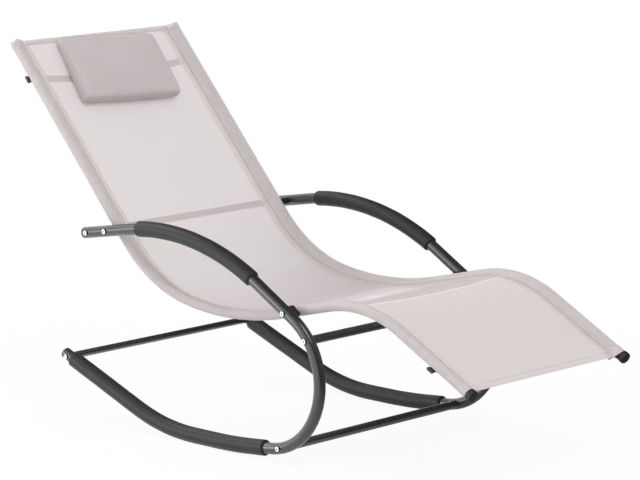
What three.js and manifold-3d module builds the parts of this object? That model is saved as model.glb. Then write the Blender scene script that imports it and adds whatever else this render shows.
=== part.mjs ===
/*
 * Rocking chaise lounge: two bent steel side hoops whose lower runs are the rockers,
 * four crossbars between them, and two S-shaped side rails that carry a stretched mesh
 * sling with a headrest pillow.
 *
 * Millimetres and degrees. +X runs to the foot end, +Y across to the sitter's left,
 * +Z up. The origin is on the floor, under the middle of the chair.
 */
import * as THREE from "three";
import { mergeVertices } from "three/addons/utils/BufferGeometryUtils.js";
import Module from "manifold-3d";

const wasm = await Module();
wasm.setup();

// Fits
const seat_gap = 0.3; // left wherever two pieces meet
const cut_overrun = 4; // how far a cutting body runs past the face that it cuts

// Side hoops, from the floor up and round to the rear of the armrest
const hoop_spacing = 576; // between the centre planes of the two hoops
const hoop_diameter = 25.5;
const hoop_wall = 2;
const rocker_rear_radius = 490;
const rocker_rear_angle = 21;
const rocker_tail_length = 252;
const rocker_level_length = 68; // the straight run that the empty chair parks on
const rocker_front_radius = 1250;
const rocker_front_angle = 4.8;
const rocker_toe_length = 65;
const front_bend_radius = 157;
const front_bend_angle = 144.8;
const arm_rise_length = 118;
const armrest_radius = 590;
const armrest_angle = 40.1;
const armrest_tail_length = 146;

// Foam sleeves on the hoops
const sleeve_diameter = 35;
const armrest_sleeve_from_rear_bolt = 99;
const armrest_sleeve_from_front_bolt = 117;
const rocker_sleeve_start = 26; // from the rear end of the rocker
const rocker_sleeve_before_bend = 13; // from its front end to the front bend
const foot_flat_depth = 0.5; // foam pressed flat where the rocker meets the floor

// Plugs in the open ends of the hoops
const hoop_plug_dome = 2;
const hoop_plug_flange = 1.5;
const hoop_plug_stem_length = 6.5;

// Crossbars between the hoops, placed by the bolts that hold them
const slim_crossbar_wall = 1.2;
const stout_crossbar_wall = 2;
const armrest_crossbar_diameter = 16;
const armrest_crossbar_from_end = 14;
const knee_crossbar_diameter = 19;
const knee_crossbar_before_bend_end = 61;
const toe_crossbar_diameter = 19;
const toe_crossbar_after_bend_start = 34;
const heel_crossbar_diameter = 16;
const heel_crossbar_from_end = 14;
const insert_length = 24; // threaded insert in each end of a crossbar
const insert_recess = 3;
const insert_nub_height = 0.8; // rivet that shows on top of the crossbar
const insert_nub_diameter = 4;
const insert_nub_from_face = 14;

// Bolts
const bolt_diameter = 6;
const bolt_head_diameter = 12;
const bolt_head_height = 3.2;
const bolt_socket_diameter = 4.4;
const bolt_socket_depth = 2;
const crossbar_bolt_length = 48;
const rail_bolt_end_gap = 3; // left between the bolt's tip and the far wall of the rail

// Side rails of the seat, from the head end to the foot end
const rail_spacing = 502;
const rail_diameter = 22;
const rail_wall = 1.5;
const back_angle = 48.5; // below the horizontal, seen running to the foot
const back_length = 552;
const seat_radius = 337;
const seat_angle = 38.4;
const thigh_radius = 683;
const thigh_angle = 24;
const thigh_length = 144;
const knee_radius = 277;
const knee_angle = 42;
const calf_length = 218;
const rear_bolt_on_rail = 519; // from the head end of the rail
const rear_bolt_on_hoop = 76; // from the rear end of the armrest

// Plugs at the ends of the rails
const head_plug_flange = 2;
const foot_cap_diameter = 26;
const foot_cap_length = 13;
const foot_cap_round = 4;
const rail_plug_stem_length = 16;

// Saddle spacers between hoops and rails
const spacer_length = 28; // along the hoop
const spacer_height = 14;
const spacer_corner = 3;
const spacer_saddle_depth = 3; // how far its sides reach round each tube

// Spreader bars behind the sling, bowed away from it: flat oval tubes lying on the rails
const spreader_width = 17;
const spreader_height = 6;
const spreader_wall = 1.5;
const spreader_from_head = 90; // along the rail from its head end
const spreader_from_foot = 104; // along the rail from its foot end
const spreader_past_rail = 8;
const spreader_seat_length = 26;
const spreader_bend_radius = 60;
const spreader_bend_angle = 12;
const spreader_cap_lip = 1; // past the bar all round
const spreader_cap_flange = 2;
const spreader_cap_stem = 3;
const spreader_screw_diameter = 5;
const spreader_screw_head_diameter = 9.5;
const spreader_screw_head_height = 2.6;
const spreader_screw_socket_diameter = 3.4;
const spreader_screw_socket_depth = 1.4;
const spreader_screw_in_rail = 8;

// Mesh sling, with a pocket round each rail
const sling_thickness = 1.2;
const pocket_wall = 0.9;
const pocket_seam = 25; // from the axis of the rail to the seam that closes its pocket
const sling_past_head = 5;
const sling_before_foot = 2;
const sling_bow = 14; // most that the middle of the sling stands off the line of its rails

// Headrest pillow, and the hook and loop strips that hold it on the sling
const pillow_width = 296;
const pillow_height = 181;
const pillow_top_edge = 18;
const pillow_bottom_edge = 29;
const pillow_crown = 12; // rise of the face over its edges
const pillow_side_pull = 5;
const pillow_gusset_bulge = 2.5;
const pillow_skew = 15; // the bottom edge is sewn this far towards the sitter's right
const pillow_angle = 3; // it hangs a little askew
const pillow_from_top = 20; // from the top edge of the sling
const pillow_off_middle = 7; // towards the sitter's right
const pillow_travel = 60; // how far down it can be stuck again
const strip_width = 200;
const strip_thickness = 1.2;
const hook_strip_height = 30;
const strip_from_pillow_top = 20;

// Fineness of round and bent shapes
const tube_side_count = 12;
const bore_side_count = 8;
const turned_side_count = 12;
const hole_side_count = 8;

const radians = THREE.MathUtils.degToRad;
const hoop_radius = hoop_diameter / 2;
const rail_radius = rail_diameter / 2;
const sleeve_radius = sleeve_diameter / 2;
const spreader_radius = spreader_height / 2;
const spreader_flat = spreader_width - spreader_height;
const wrap_radius = rail_radius + seat_gap + pocket_wall;
const hoop_plane = hoop_spacing / 2;
const rail_plane = rail_spacing / 2;
const sides = [
  { name: "right", sign: -1 },
  { name: "left", sign: 1 },
];

const steel_paint = () => new THREE.MeshStandardMaterial({
  color: 0x4c4c4e,
  roughness: 0.42,
  metalness: 0.35,
});
const foam = () => new THREE.MeshStandardMaterial({ color: 0x424343, roughness: 0.85 });
const black_plastic = () => new THREE.MeshStandardMaterial({ color: 0x161616, roughness: 0.5 });
const zinc = () => new THREE.MeshStandardMaterial({
  color: 0xd8d8d8,
  roughness: 0.25,
  metalness: 1,
});
const mesh_fabric = () => new THREE.MeshStandardMaterial({ color: 0xdad2d1, roughness: 0.8 });
const pillow_fabric = () => new THREE.MeshStandardMaterial({ color: 0xc4bcbe, roughness: 0.9 });

const chair = new THREE.Group();

function add(name, geometry, material) {
  const mesh = new THREE.Mesh(geometry, material);
  mesh.name = name;
  chair.add(mesh);
  return mesh;
}

// Closed surfaces

function weld(geometry) {
  const bare = geometry.clone();
  bare.deleteAttribute("normal");
  bare.deleteAttribute("uv");
  const merged = mergeVertices(bare);
  const corner = merged.index.array;
  const kept = [];
  for (let i = 0; i < corner.length; i += 3) {
    const [a, b, c] = [corner[i], corner[i + 1], corner[i + 2]];
    if (a !== b && b !== c && c !== a) kept.push(a, b, c);
  }
  merged.setIndex(kept);
  if (signedVolume(merged) < 0) {
    for (let i = 0; i < kept.length; i += 3) {
      [kept[i + 1], kept[i + 2]] = [kept[i + 2], kept[i + 1]];
    }
    merged.setIndex(kept);
  }
  merged.computeVertexNormals();
  return merged;
}

function signedVolume(geometry) {
  const at = geometry.attributes.position;
  const corner = geometry.index.array;
  const [a, b, c] = [new THREE.Vector3(), new THREE.Vector3(), new THREE.Vector3()];
  let six_volumes = 0;
  for (let i = 0; i < corner.length; i += 3) {
    a.fromBufferAttribute(at, corner[i]);
    b.fromBufferAttribute(at, corner[i + 1]);
    c.fromBufferAttribute(at, corner[i + 2]);
    six_volumes += a.dot(b.cross(c));
  }
  return six_volumes / 6;
}

function toSolid(geometry) {
  const welded = weld(geometry);
  return new wasm.Manifold(new wasm.Mesh({
    numProp: 3,
    vertProperties: new Float32Array(welded.attributes.position.array),
    triVerts: new Uint32Array(welded.index.array),
  }));
}

function toGeometry(solid) {
  const { vertProperties, triVerts } = solid.getMesh();
  const geometry = new THREE.BufferGeometry();
  geometry.setAttribute("position", new THREE.BufferAttribute(vertProperties, 3));
  geometry.setIndex(new THREE.BufferAttribute(triVerts, 1));
  geometry.computeVertexNormals();
  return geometry;
}

function cut(geometry, tools) {
  let solid = toSolid(geometry);
  for (const tool of tools) solid = solid.subtract(toSolid(tool));
  return toGeometry(solid);
}

// Bent paths: each is a list of stations on a flat centre line, joined by straight runs

const straight = (length, spans = 1) => ({ length, turn: 0, spans });
const bend = (radius, turn, spans) => ({
  length: radius * radians(Math.abs(turn)),
  turn: radians(turn),
  spans,
});

function layPath(start, heading, legs) {
  const stations = [{ ...start, heading: radians(heading), s: 0 }];
  for (const { length, turn, spans } of legs) {
    const from = stations.at(-1);
    for (let i = 1; i <= spans; i++) {
      const run = length * i / spans;
      const now = from.heading + turn * i / spans;
      const chord = turn ? 2 * (length / turn) * Math.sin((now - from.heading) / 2) : run;
      const along = (from.heading + now) / 2;
      stations.push({
        x: from.x + chord * Math.cos(along),
        z: from.z + chord * Math.sin(along),
        heading: now,
        s: from.s + run,
      });
    }
  }
  return stations;
}

function backwards(stations) {
  const end = stations.at(-1).s;
  return stations.toReversed().map(({ x, z, heading, s }) => (
    { x, z, heading: heading + Math.PI, s: end - s }
  ));
}

function onPath(stations, s) {
  let i = stations.findIndex((station) => station.s > s);
  if (i < 1) i = i === 0 ? 1 : stations.length - 1;
  const [a, b] = [stations[i - 1], stations[i]];
  const share = (s - a.s) / (b.s - a.s);
  return {
    x: a.x + (b.x - a.x) * share,
    z: a.z + (b.z - a.z) * share,
    heading: Math.atan2(b.z - a.z, b.x - a.x),
    s,
  };
}

function clip(stations, from, to) {
  const inside = stations.filter(({ s }) => s > from + seat_gap && s < to - seat_gap);
  return [onPath(stations, from), ...inside, onPath(stations, to)];
}

function crossing(first, second) {
  let best = { gap: Infinity };
  for (let i = 1; i < first.length; i++) {
    for (let j = 1; j < second.length; j++) {
      const [p, q] = [first[i - 1], second[j - 1]];
      const u = { x: first[i].x - p.x, z: first[i].z - p.z };
      const v = { x: second[j].x - q.x, z: second[j].z - q.z };
      const spread = u.x * v.z - u.z * v.x;
      const a = ((q.x - p.x) * v.z - (q.z - p.z) * v.x) / spread;
      const b = ((q.x - p.x) * u.z - (q.z - p.z) * u.x) / spread;
      const gap = Math.max(0, -a, a - 1) + Math.max(0, -b, b - 1);
      if (gap < best.gap) {
        best = {
          gap,
          on_first: p.s + a * (first[i].s - p.s),
        };
      }
    }
  }
  return best;
}

class StationCurve extends THREE.Curve {
  constructor(points, tangents) {
    super();
    this.points = points;
    this.tangents = tangents;
  }

  getPointAt(u) {
    return this.points[Math.round(u * (this.points.length - 1))].clone();
  }

  getTangentAt(u) {
    return this.tangents[Math.round(u * (this.points.length - 1))].clone();
  }
}

function inSidePlane(stations, y) {
  return new StationCurve(
    stations.map(({ x, z }) => new THREE.Vector3(x, y, z)),
    stations.map(({ heading }) => new THREE.Vector3(Math.cos(heading), 0, Math.sin(heading))),
  );
}

// A round section, or a flat oval one when its halves are set apart by a flat
function ring(radius, count, flat = 0) {
  const corner_radius = radius / Math.cos(Math.PI / count);
  return Array.from({ length: count }, (_, i) => {
    const angle = 2 * Math.PI * (i + 0.5) / count;
    const side = Math.sign(Math.sin(angle));
    return new THREE.Vector2(
      corner_radius * Math.cos(angle),
      corner_radius * Math.sin(angle) + side * flat / 2,
    );
  });
}

function tube(curve, radius, bore_radius = 0, bore_count = bore_side_count, flat = 0) {
  const section = new THREE.Shape(ring(radius, tube_side_count, flat));
  if (bore_radius) section.holes.push(new THREE.Path(ring(bore_radius, bore_count, flat)));
  return new THREE.ExtrudeGeometry(section, {
    steps: curve.points.length - 1,
    extrudePath: curve,
  });
}

function pin(from, to, radius, count = hole_side_count) {
  const axis = to.clone().sub(from);
  const geometry = new THREE.CylinderGeometry(radius, radius, axis.length(), count);
  const turn = new THREE.Quaternion().setFromUnitVectors(
    new THREE.Vector3(0, 1, 0),
    axis.clone().normalize(),
  );
  geometry.applyQuaternion(turn);
  geometry.translate(...from.clone().add(to).multiplyScalar(0.5).toArray());
  return geometry;
}

// A turned piece: profile pairs run along its axis, which starts at origin and points along axis
function turned(profile, origin, axis, count = turned_side_count) {
  const geometry = new THREE.LatheGeometry(
    profile.map(([radius, along]) => new THREE.Vector2(radius, along)),
    count,
  );
  geometry.applyQuaternion(new THREE.Quaternion().setFromUnitVectors(
    new THREE.Vector3(0, 1, 0),
    axis,
  ));
  geometry.translate(...origin.toArray());
  return weld(geometry);
}

// The two halves of a turned piece are set apart by a flat, which makes it a flat oval one
function setApart(geometry, origin, direction, flat) {
  const at = geometry.attributes.position;
  for (let i = 0; i < at.count; i++) {
    const point = new THREE.Vector3().fromBufferAttribute(at, i);
    const off_middle = point.clone().sub(origin).dot(direction);
    const side = Math.abs(off_middle) < seat_gap / 2 ? 0 : Math.sign(off_middle);
    point.addScaledVector(direction, side * flat / 2);
    at.setXYZ(i, ...point.toArray());
  }
  return geometry;
}

// Centre lines

const heel_path = layPath(
  { x: -rocker_level_length / 2, z: sleeve_radius - foot_flat_depth },
  180,
  [bend(rocker_rear_radius, -rocker_rear_angle, 10), straight(rocker_tail_length)],
);
const toe_path = layPath(
  { x: -rocker_level_length / 2, z: sleeve_radius - foot_flat_depth },
  0,
  [
    straight(rocker_level_length),
    bend(rocker_front_radius, rocker_front_angle, 2),
    straight(rocker_toe_length),
    bend(front_bend_radius, front_bend_angle, 14),
    straight(arm_rise_length),
    bend(armrest_radius, armrest_angle, 8),
    straight(armrest_tail_length),
  ],
);
const heel_run = heel_path.at(-1).s;
const hoop_path = [
  ...backwards(heel_path).slice(0, -1),
  ...toe_path.map((station) => ({ ...station, s: station.s + heel_run })),
];
const hoop_run = hoop_path.at(-1).s;
const bend_end = hoop_run - armrest_tail_length - armrest_radius * radians(armrest_angle)
  - arm_rise_length;
const bend_start = bend_end - front_bend_radius * radians(front_bend_angle);
const rocker_sleeve_length = bend_start - rocker_sleeve_before_bend - rocker_sleeve_start;

const rear_bolt = onPath(hoop_path, hoop_run - rear_bolt_on_hoop);
const rail_path = layPath(
  {
    x: rear_bolt.x - rear_bolt_on_rail * Math.cos(radians(back_angle)),
    z: rear_bolt.z + rear_bolt_on_rail * Math.sin(radians(back_angle)),
  },
  -back_angle,
  [
    straight(back_length, 3),
    bend(seat_radius, seat_angle, 6),
    bend(thigh_radius, thigh_angle, 4),
    straight(thigh_length, 2),
    bend(knee_radius, -knee_angle, 5),
    straight(calf_length, 2),
  ],
);
const rail_run = rail_path.at(-1).s;
const front_meeting = crossing(
  clip(hoop_path, bend_start, hoop_run - rear_bolt_on_hoop * 2),
  clip(rail_path, back_length, rail_run),
);
const front_bolt = onPath(hoop_path, front_meeting.on_first);
const armrest_sleeve_start = front_meeting.on_first + armrest_sleeve_from_front_bolt;
const armrest_sleeve_length = hoop_run - rear_bolt_on_hoop - armrest_sleeve_from_rear_bolt
  - armrest_sleeve_start;

// Frame pieces

function normalOf({ heading }) {
  return new THREE.Vector3(-Math.sin(heading), 0, Math.cos(heading));
}

function directionOf({ heading }) {
  return new THREE.Vector3(Math.cos(heading), 0, Math.sin(heading));
}

function onRailPlane(station, sign, height) {
  return new THREE.Vector3(station.x, sign * rail_plane, station.z)
    .addScaledVector(normalOf(station), height);
}

const crossbars = [
  {
    name: "armrest",
    diameter: armrest_crossbar_diameter,
    wall: slim_crossbar_wall,
    s: hoop_run - armrest_crossbar_from_end,
  },
  {
    name: "knee",
    diameter: knee_crossbar_diameter,
    wall: stout_crossbar_wall,
    s: bend_end - knee_crossbar_before_bend_end,
  },
  {
    name: "toe",
    diameter: toe_crossbar_diameter,
    wall: stout_crossbar_wall,
    s: bend_start + toe_crossbar_after_bend_start,
  },
  {
    name: "heel",
    diameter: heel_crossbar_diameter,
    wall: slim_crossbar_wall,
    s: heel_crossbar_from_end,
  },
];
const rail_bolts = [
  { name: "rear", at: rear_bolt },
  { name: "front", at: front_bolt },
];
const spreaders = [
  { name: "head", at: onPath(rail_path, spreader_from_head) },
  { name: "foot", at: onPath(rail_path, rail_run - spreader_from_foot) },
];
const spreader_drop = wrap_radius + seat_gap + spreader_radius;

function sidePin({ x, z }, sign, inner, outer, radius) {
  return pin(
    new THREE.Vector3(x, sign * inner, z),
    new THREE.Vector3(x, sign * outer, z),
    radius,
  );
}

const bolt_hole_radius = bolt_diameter / 2 + seat_gap;
const hoop_outer = hoop_plane + hoop_radius;
const hoop_inner = hoop_plane - hoop_radius;

function makeHoop(sign) {
  const body = tube(inSidePlane(hoop_path, sign * hoop_plane), hoop_radius, hoop_radius - hoop_wall);
  const places = [
    ...crossbars.map(({ s }) => onPath(hoop_path, s)),
    ...rail_bolts.map(({ at }) => at),
  ];
  return cut(body, places.map((place) => sidePin(
    place,
    sign,
    hoop_inner - cut_overrun,
    hoop_outer + cut_overrun,
    bolt_hole_radius,
  )));
}

function makeSleeve(sign, from, length) {
  const path = inSidePlane(clip(hoop_path, from, from + length), sign * hoop_plane);
  return tube(path, sleeve_radius, hoop_radius + seat_gap, tube_side_count);
}

function flattenUnderside(geometry) {
  const box = new THREE.Box3().setFromBufferAttribute(geometry.attributes.position);
  const size = box.getSize(new THREE.Vector3());
  const floor = new THREE.BoxGeometry(size.x, size.y + cut_overrun, sleeve_radius);
  const centre = box.getCenter(new THREE.Vector3());
  floor.translate(centre.x, centre.y, -sleeve_radius / 2);
  return cut(geometry, [floor]);
}

function makeHoopPlug(sign, station, outwards) {
  const bore = hoop_radius - hoop_wall - seat_gap;
  const round = Array.from({ length: 4 }, (_, i) => {
    const angle = Math.PI / 2 * (i + 1) / 4;
    return [hoop_radius * Math.cos(angle), hoop_plug_flange + hoop_plug_dome * Math.sin(angle)];
  });
  round[round.length - 1][0] = 0;
  return turned(
    [
      [0, -hoop_plug_stem_length],
      [bore, -hoop_plug_stem_length],
      [bore, seat_gap],
      [hoop_radius, seat_gap],
      [hoop_radius, hoop_plug_flange],
      ...round,
    ],
    new THREE.Vector3(station.x, sign * hoop_plane, station.z),
    directionOf(station).multiplyScalar(outwards),
  );
}

function makeCrossbar({ diameter, wall, s }) {
  const { x, z } = onPath(hoop_path, s);
  const radius = diameter / 2;
  const ends = [-1, 1].map((sign) => new THREE.Vector3(x, sign * hoop_plane, z));
  const along = new THREE.Vector3(0, 1, 0);
  const body = tube(new StationCurve(ends, [along, along]), radius, radius - wall);
  const nub = insertNubPlace();
  return cut(body, [
    ...sides.map(({ sign }) => tube(
      inSidePlane(hoop_path, sign * hoop_plane),
      hoop_radius + seat_gap,
    )),
    ...sides.map(({ sign }) => pin(
      new THREE.Vector3(x, sign * nub, z),
      new THREE.Vector3(x, sign * nub, z + radius + cut_overrun),
      insert_nub_diameter / 2 + seat_gap,
    )),
  ]);
}

function insertNubPlace() {
  return hoop_inner - insert_recess - insert_nub_from_face;
}

function makeInsert({ diameter, wall, s }, sign) {
  const { x, z } = onPath(hoop_path, s);
  const outer = diameter / 2 - wall - seat_gap;
  const start = hoop_inner - insert_recess;
  const body = turned(
    [
      [bolt_hole_radius, 0],
      [outer, 0],
      [outer, insert_length],
      [bolt_hole_radius, insert_length],
      [bolt_hole_radius, 0],
    ],
    new THREE.Vector3(x, sign * start, z),
    new THREE.Vector3(0, -sign, 0),
    bore_side_count,
  );
  const nub = pin(
    new THREE.Vector3(x, sign * insertNubPlace(), z + (outer + bolt_hole_radius) / 2),
    new THREE.Vector3(x, sign * insertNubPlace(), z + diameter / 2 + insert_nub_height),
    insert_nub_diameter / 2,
  );
  return toGeometry(toSolid(body).add(toSolid(nub)));
}

// A button head with a round socket, its shank running back from the seat of the head
function boltProfile(diameter, length, head_diameter, head_height, socket, socket_depth) {
  const shoulder_share = 0.94;
  const crown_share = 0.62;
  return [
    [0, -length],
    [diameter / 2, -length],
    [diameter / 2, 0],
    [head_diameter / 2, 0],
    [head_diameter / 2 * shoulder_share, head_height / 2],
    [head_diameter / 2 * crown_share, head_height],
    [socket / 2, head_height],
    [socket / 2, head_height - socket_depth],
    [0, head_height - socket_depth],
  ];
}

function makeHoopBolt(place, sign, length) {
  return turned(
    boltProfile(
      bolt_diameter,
      length,
      bolt_head_diameter,
      bolt_head_height,
      bolt_socket_diameter,
      bolt_socket_depth,
    ),
    new THREE.Vector3(place.x, sign * (hoop_outer + seat_gap), place.z),
    new THREE.Vector3(0, sign, 0),
  );
}

function makeRail(sign) {
  const body = tube(inSidePlane(rail_path, sign * rail_plane), rail_radius, rail_radius - rail_wall);
  return cut(body, [
    ...rail_bolts.map(({ at }) => sidePin(
      at,
      sign,
      rail_plane,
      rail_plane + rail_radius + cut_overrun,
      bolt_hole_radius,
    )),
    ...spreaders.map(({ at }) => pin(
      onRailPlane(at, sign, -rail_radius - cut_overrun),
      onRailPlane(at, sign, 0),
      spreader_screw_diameter / 2 + seat_gap,
    )),
  ]);
}

function makeHeadPlug(sign) {
  const bore = rail_radius - rail_wall - seat_gap;
  const top = rail_path[0];
  return turned(
    [
      [0, -rail_plug_stem_length],
      [bore, -rail_plug_stem_length],
      [bore, seat_gap],
      [rail_radius, seat_gap],
      [rail_radius, head_plug_flange],
      [0, head_plug_flange],
    ],
    new THREE.Vector3(top.x, sign * rail_plane, top.z),
    directionOf(top).negate(),
  );
}

function makeFootCap(sign) {
  const bore = rail_radius - rail_wall - seat_gap;
  const rim = foot_cap_diameter / 2;
  const end = rail_path.at(-1);
  return turned(
    [
      [0, -rail_plug_stem_length],
      [bore, -rail_plug_stem_length],
      [bore, seat_gap],
      [rim, seat_gap],
      [rim, foot_cap_length - foot_cap_round],
      [rim - foot_cap_round * (1 - Math.SQRT1_2), foot_cap_length - foot_cap_round * (1 - Math.SQRT1_2)],
      [rim - foot_cap_round, foot_cap_length],
      [0, foot_cap_length],
    ],
    new THREE.Vector3(end.x, sign * rail_plane, end.z),
    directionOf(end),
  );
}

function makeSpacer(sign, { at }) {
  const [half, rise] = [spacer_length / 2, spacer_height / 2];
  const outline = new THREE.Shape();
  outline.moveTo(half - spacer_corner, -rise);
  outline.absarc(half - spacer_corner, -rise + spacer_corner, spacer_corner, -Math.PI / 2, 0);
  outline.absarc(half - spacer_corner, rise - spacer_corner, spacer_corner, 0, Math.PI / 2);
  outline.absarc(-half + spacer_corner, rise - spacer_corner, spacer_corner, Math.PI / 2, Math.PI);
  outline.absarc(-half + spacer_corner, -rise + spacer_corner, spacer_corner, Math.PI, Math.PI * 1.5);
  const inner = rail_plane + wrap_radius - spacer_saddle_depth;
  const outer = hoop_inner + spacer_saddle_depth;
  const block = new THREE.ExtrudeGeometry(outline, {
    depth: outer - inner,
    bevelEnabled: false,
    curveSegments: 3,
  });
  const across = new THREE.Vector3(0, -1, 0);
  block.applyMatrix4(new THREE.Matrix4().makeBasis(directionOf(at), normalOf(at), across));
  block.translate(at.x, sign > 0 ? outer : -inner, at.z);
  return cut(block, [
    tube(inSidePlane(hoop_path, sign * hoop_plane), hoop_radius + seat_gap),
    tube(inSidePlane(rail_path, sign * rail_plane), wrap_radius + seat_gap),
    sidePin(at, sign, inner - cut_overrun, outer + cut_overrun, bolt_hole_radius),
  ]);
}

// Spreader bars: laid from the sitter's right, x across the chair and z away from the sling
function spreaderPath() {
  const rise = 2 * spreader_bend_radius * Math.sin(radians(spreader_bend_angle));
  const half = rail_plane - (spreader_seat_length - spreader_past_rail) - rise / 2;
  const bow_radius = half / Math.sin(radians(spreader_bend_angle));
  return layPath({ x: -rail_plane - spreader_past_rail, z: 0 }, 0, [
    straight(spreader_seat_length),
    bend(spreader_bend_radius, spreader_bend_angle, 1),
    bend(bow_radius, -2 * spreader_bend_angle, 6),
    bend(spreader_bend_radius, spreader_bend_angle, 1),
    straight(spreader_seat_length),
  ]);
}

function makeSpreader({ at }) {
  const back = normalOf(at).negate();
  const centre = new THREE.Vector3(at.x, 0, at.z).addScaledVector(back, spreader_drop);
  const across = new THREE.Vector3(0, 1, 0);
  const body = tube(
    inSidePlane(spreaderPath(), 0),
    spreader_radius,
    spreader_radius - spreader_wall,
    bore_side_count,
    spreader_flat,
  );
  body.applyMatrix4(new THREE.Matrix4().makeBasis(across, directionOf(at), back));
  body.translate(...centre.toArray());
  return cut(body, sides.map(({ sign }) => pin(
    onRailPlane(at, sign, -spreader_drop - spreader_radius - cut_overrun),
    onRailPlane(at, sign, -rail_radius),
    spreader_screw_diameter / 2 + seat_gap,
  )));
}

function makeSpreaderCap({ at }, sign) {
  const bore = spreader_radius - spreader_wall - seat_gap;
  const rim = spreader_radius + spreader_cap_lip;
  const origin = onRailPlane(at, sign, -spreader_drop);
  origin.y += sign * spreader_past_rail;
  const worn_share = 0.85;
  const cap = turned(
    [
      [0, -spreader_cap_stem],
      [bore, -spreader_cap_stem],
      [bore, seat_gap],
      [rim, seat_gap],
      [rim, spreader_cap_flange / 2],
      [rim * worn_share, spreader_cap_flange],
      [0, spreader_cap_flange],
    ],
    origin,
    new THREE.Vector3(0, sign, 0),
  );
  return setApart(cap, origin, directionOf(at), spreader_flat);
}

function makeSpreaderScrew({ at }, sign) {
  const seat = spreader_drop + spreader_radius + seat_gap;
  return turned(
    boltProfile(
      spreader_screw_diameter,
      seat - rail_radius + spreader_screw_in_rail,
      spreader_screw_head_diameter,
      spreader_screw_head_height,
      spreader_screw_socket_diameter,
      spreader_screw_socket_depth,
    ),
    onRailPlane(at, sign, -seat),
    normalOf(at).negate(),
    bore_side_count,
  );
}

// Sling: one section swept down the rails, its middle bowed off their line

const bow_shares = [
  [0, 0],
  [0.22, 0],
  [0.34, 0.25],
  [0.42, 1],
  [0.56, 0.7],
  [0.68, 0.15],
  [0.8, -0.55],
  [0.92, -0.1],
  [1, 0],
];

function bowAt(share) {
  const i = Math.max(1, bow_shares.findIndex(([at]) => at >= share));
  const [[from, low], [to, high]] = [bow_shares[i - 1], bow_shares[i]];
  const part = (share - from) / (to - from);
  const eased = part * part * (3 - 2 * part);
  return sling_bow * (low + (high - low) * eased);
}

function pocketArc(radius, sign) {
  const corner_radius = radius / Math.cos(Math.PI / tube_side_count);
  const step = 2 * Math.PI / tube_side_count;
  return Array.from({ length: 8 }, (_, i) => {
    const angle = (i - 3.5) * step;
    return [
      sign * (rail_plane + corner_radius * Math.cos(angle)),
      corner_radius * Math.sin(angle),
    ];
  });
}

function slingSection(bow) {
  const half = sling_thickness / 2;
  const seam = rail_plane - pocket_seam;
  const across_shares = [-0.5, 0, 0.5];
  const middle = across_shares.map((share) => [seam * share, bow * (1 - share * share)]);
  const left = pocketArc(wrap_radius, 1);
  const right = pocketArc(wrap_radius, -1);
  const outline = [
    [-seam, -half],
    ...middle.map(([y, n]) => [y, n - half]),
    [seam, -half],
    ...left,
    [seam, half],
    ...middle.toReversed().map(([y, n]) => [y, n + half]),
    [-seam, half],
    ...right.toReversed(),
  ];
  const seam_inside = seam + pocket_wall * 2;
  const holes = [-1, 1].map((sign) => [
    ...pocketArc(wrap_radius - pocket_wall, sign),
    [sign * seam_inside, 0],
  ]);
  return [outline, ...holes];
}

function makeSling() {
  const from = -sling_past_head;
  const to = rail_run - sling_before_foot;
  const stations = clip(rail_path, from, to);
  const vectors = (loop) => loop.map(([y, n]) => new THREE.Vector2(y, n));
  const loops = slingSection(0).map(vectors);
  const lid = THREE.ShapeUtils.triangulateShape(loops[0], loops.slice(1));
  const per_ring = loops.reduce((sum, loop) => sum + loop.length, 0);
  const at = [];
  for (const station of stations) {
    const section = slingSection(bowAt((station.s - from) / (to - from))).flat();
    const n = normalOf(station);
    for (const [y, rise] of section) at.push(station.x + n.x * rise, y, station.z + n.z * rise);
  }
  const index = [];
  for (let k = 1; k < stations.length; k++) {
    let first = 0;
    for (const loop of loops) {
      for (let i = 0; i < loop.length; i++) {
        const a = (k - 1) * per_ring + first + i;
        const b = (k - 1) * per_ring + first + (i + 1) % loop.length;
        const turn = loop === loops[0] === THREE.ShapeUtils.isClockWise(loop);
        const outwards = Math.abs(loop[i].x) < Math.abs(loop[(i + 1) % loop.length].x);
        const quad = outwards
          ? [a, b, b + per_ring, a, b + per_ring, a + per_ring]
          : [a, b, a + per_ring, b, b + per_ring, a + per_ring];
        index.push(...(turn ? quad.toReversed() : quad));
      }
      first += loop.length;
    }
  }
  const last = (stations.length - 1) * per_ring;
  for (const [a, b, c] of lid) index.push(a, c, b, last + a, last + b, last + c);
  const geometry = new THREE.BufferGeometry();
  geometry.setAttribute("position", new THREE.Float32BufferAttribute(at, 3));
  geometry.setIndex(index);
  const holes = sides.flatMap(({ sign }) => [
    ...rail_bolts.map(({ at: place }) => sidePin(
      place,
      sign,
      rail_plane,
      rail_plane + wrap_radius + cut_overrun,
      bolt_hole_radius,
    )),
    ...spreaders.map(({ at: place }) => pin(
      onRailPlane(place, sign, -wrap_radius - cut_overrun),
      onRailPlane(place, sign, 0),
      spreader_screw_diameter / 2 + seat_gap,
    )),
  ]);
  return cut(geometry, holes);
}

// Headrest: a soft box in the frame of the backrest, down it, across it and off it

const back_frame = {
  origin: onPath(rail_path, -sling_past_head),
  place(down, across, off) {
    const { x, z } = this.origin;
    return new THREE.Vector3(x, across, z)
      .addScaledVector(directionOf(this.origin), down)
      .addScaledVector(normalOf(this.origin), off);
  },
};

const strip_off = sling_thickness / 2 + seat_gap;
const hook_strip_off = strip_off + strip_thickness + seat_gap;
const pillow_off = hook_strip_off + strip_thickness + seat_gap;

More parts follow.
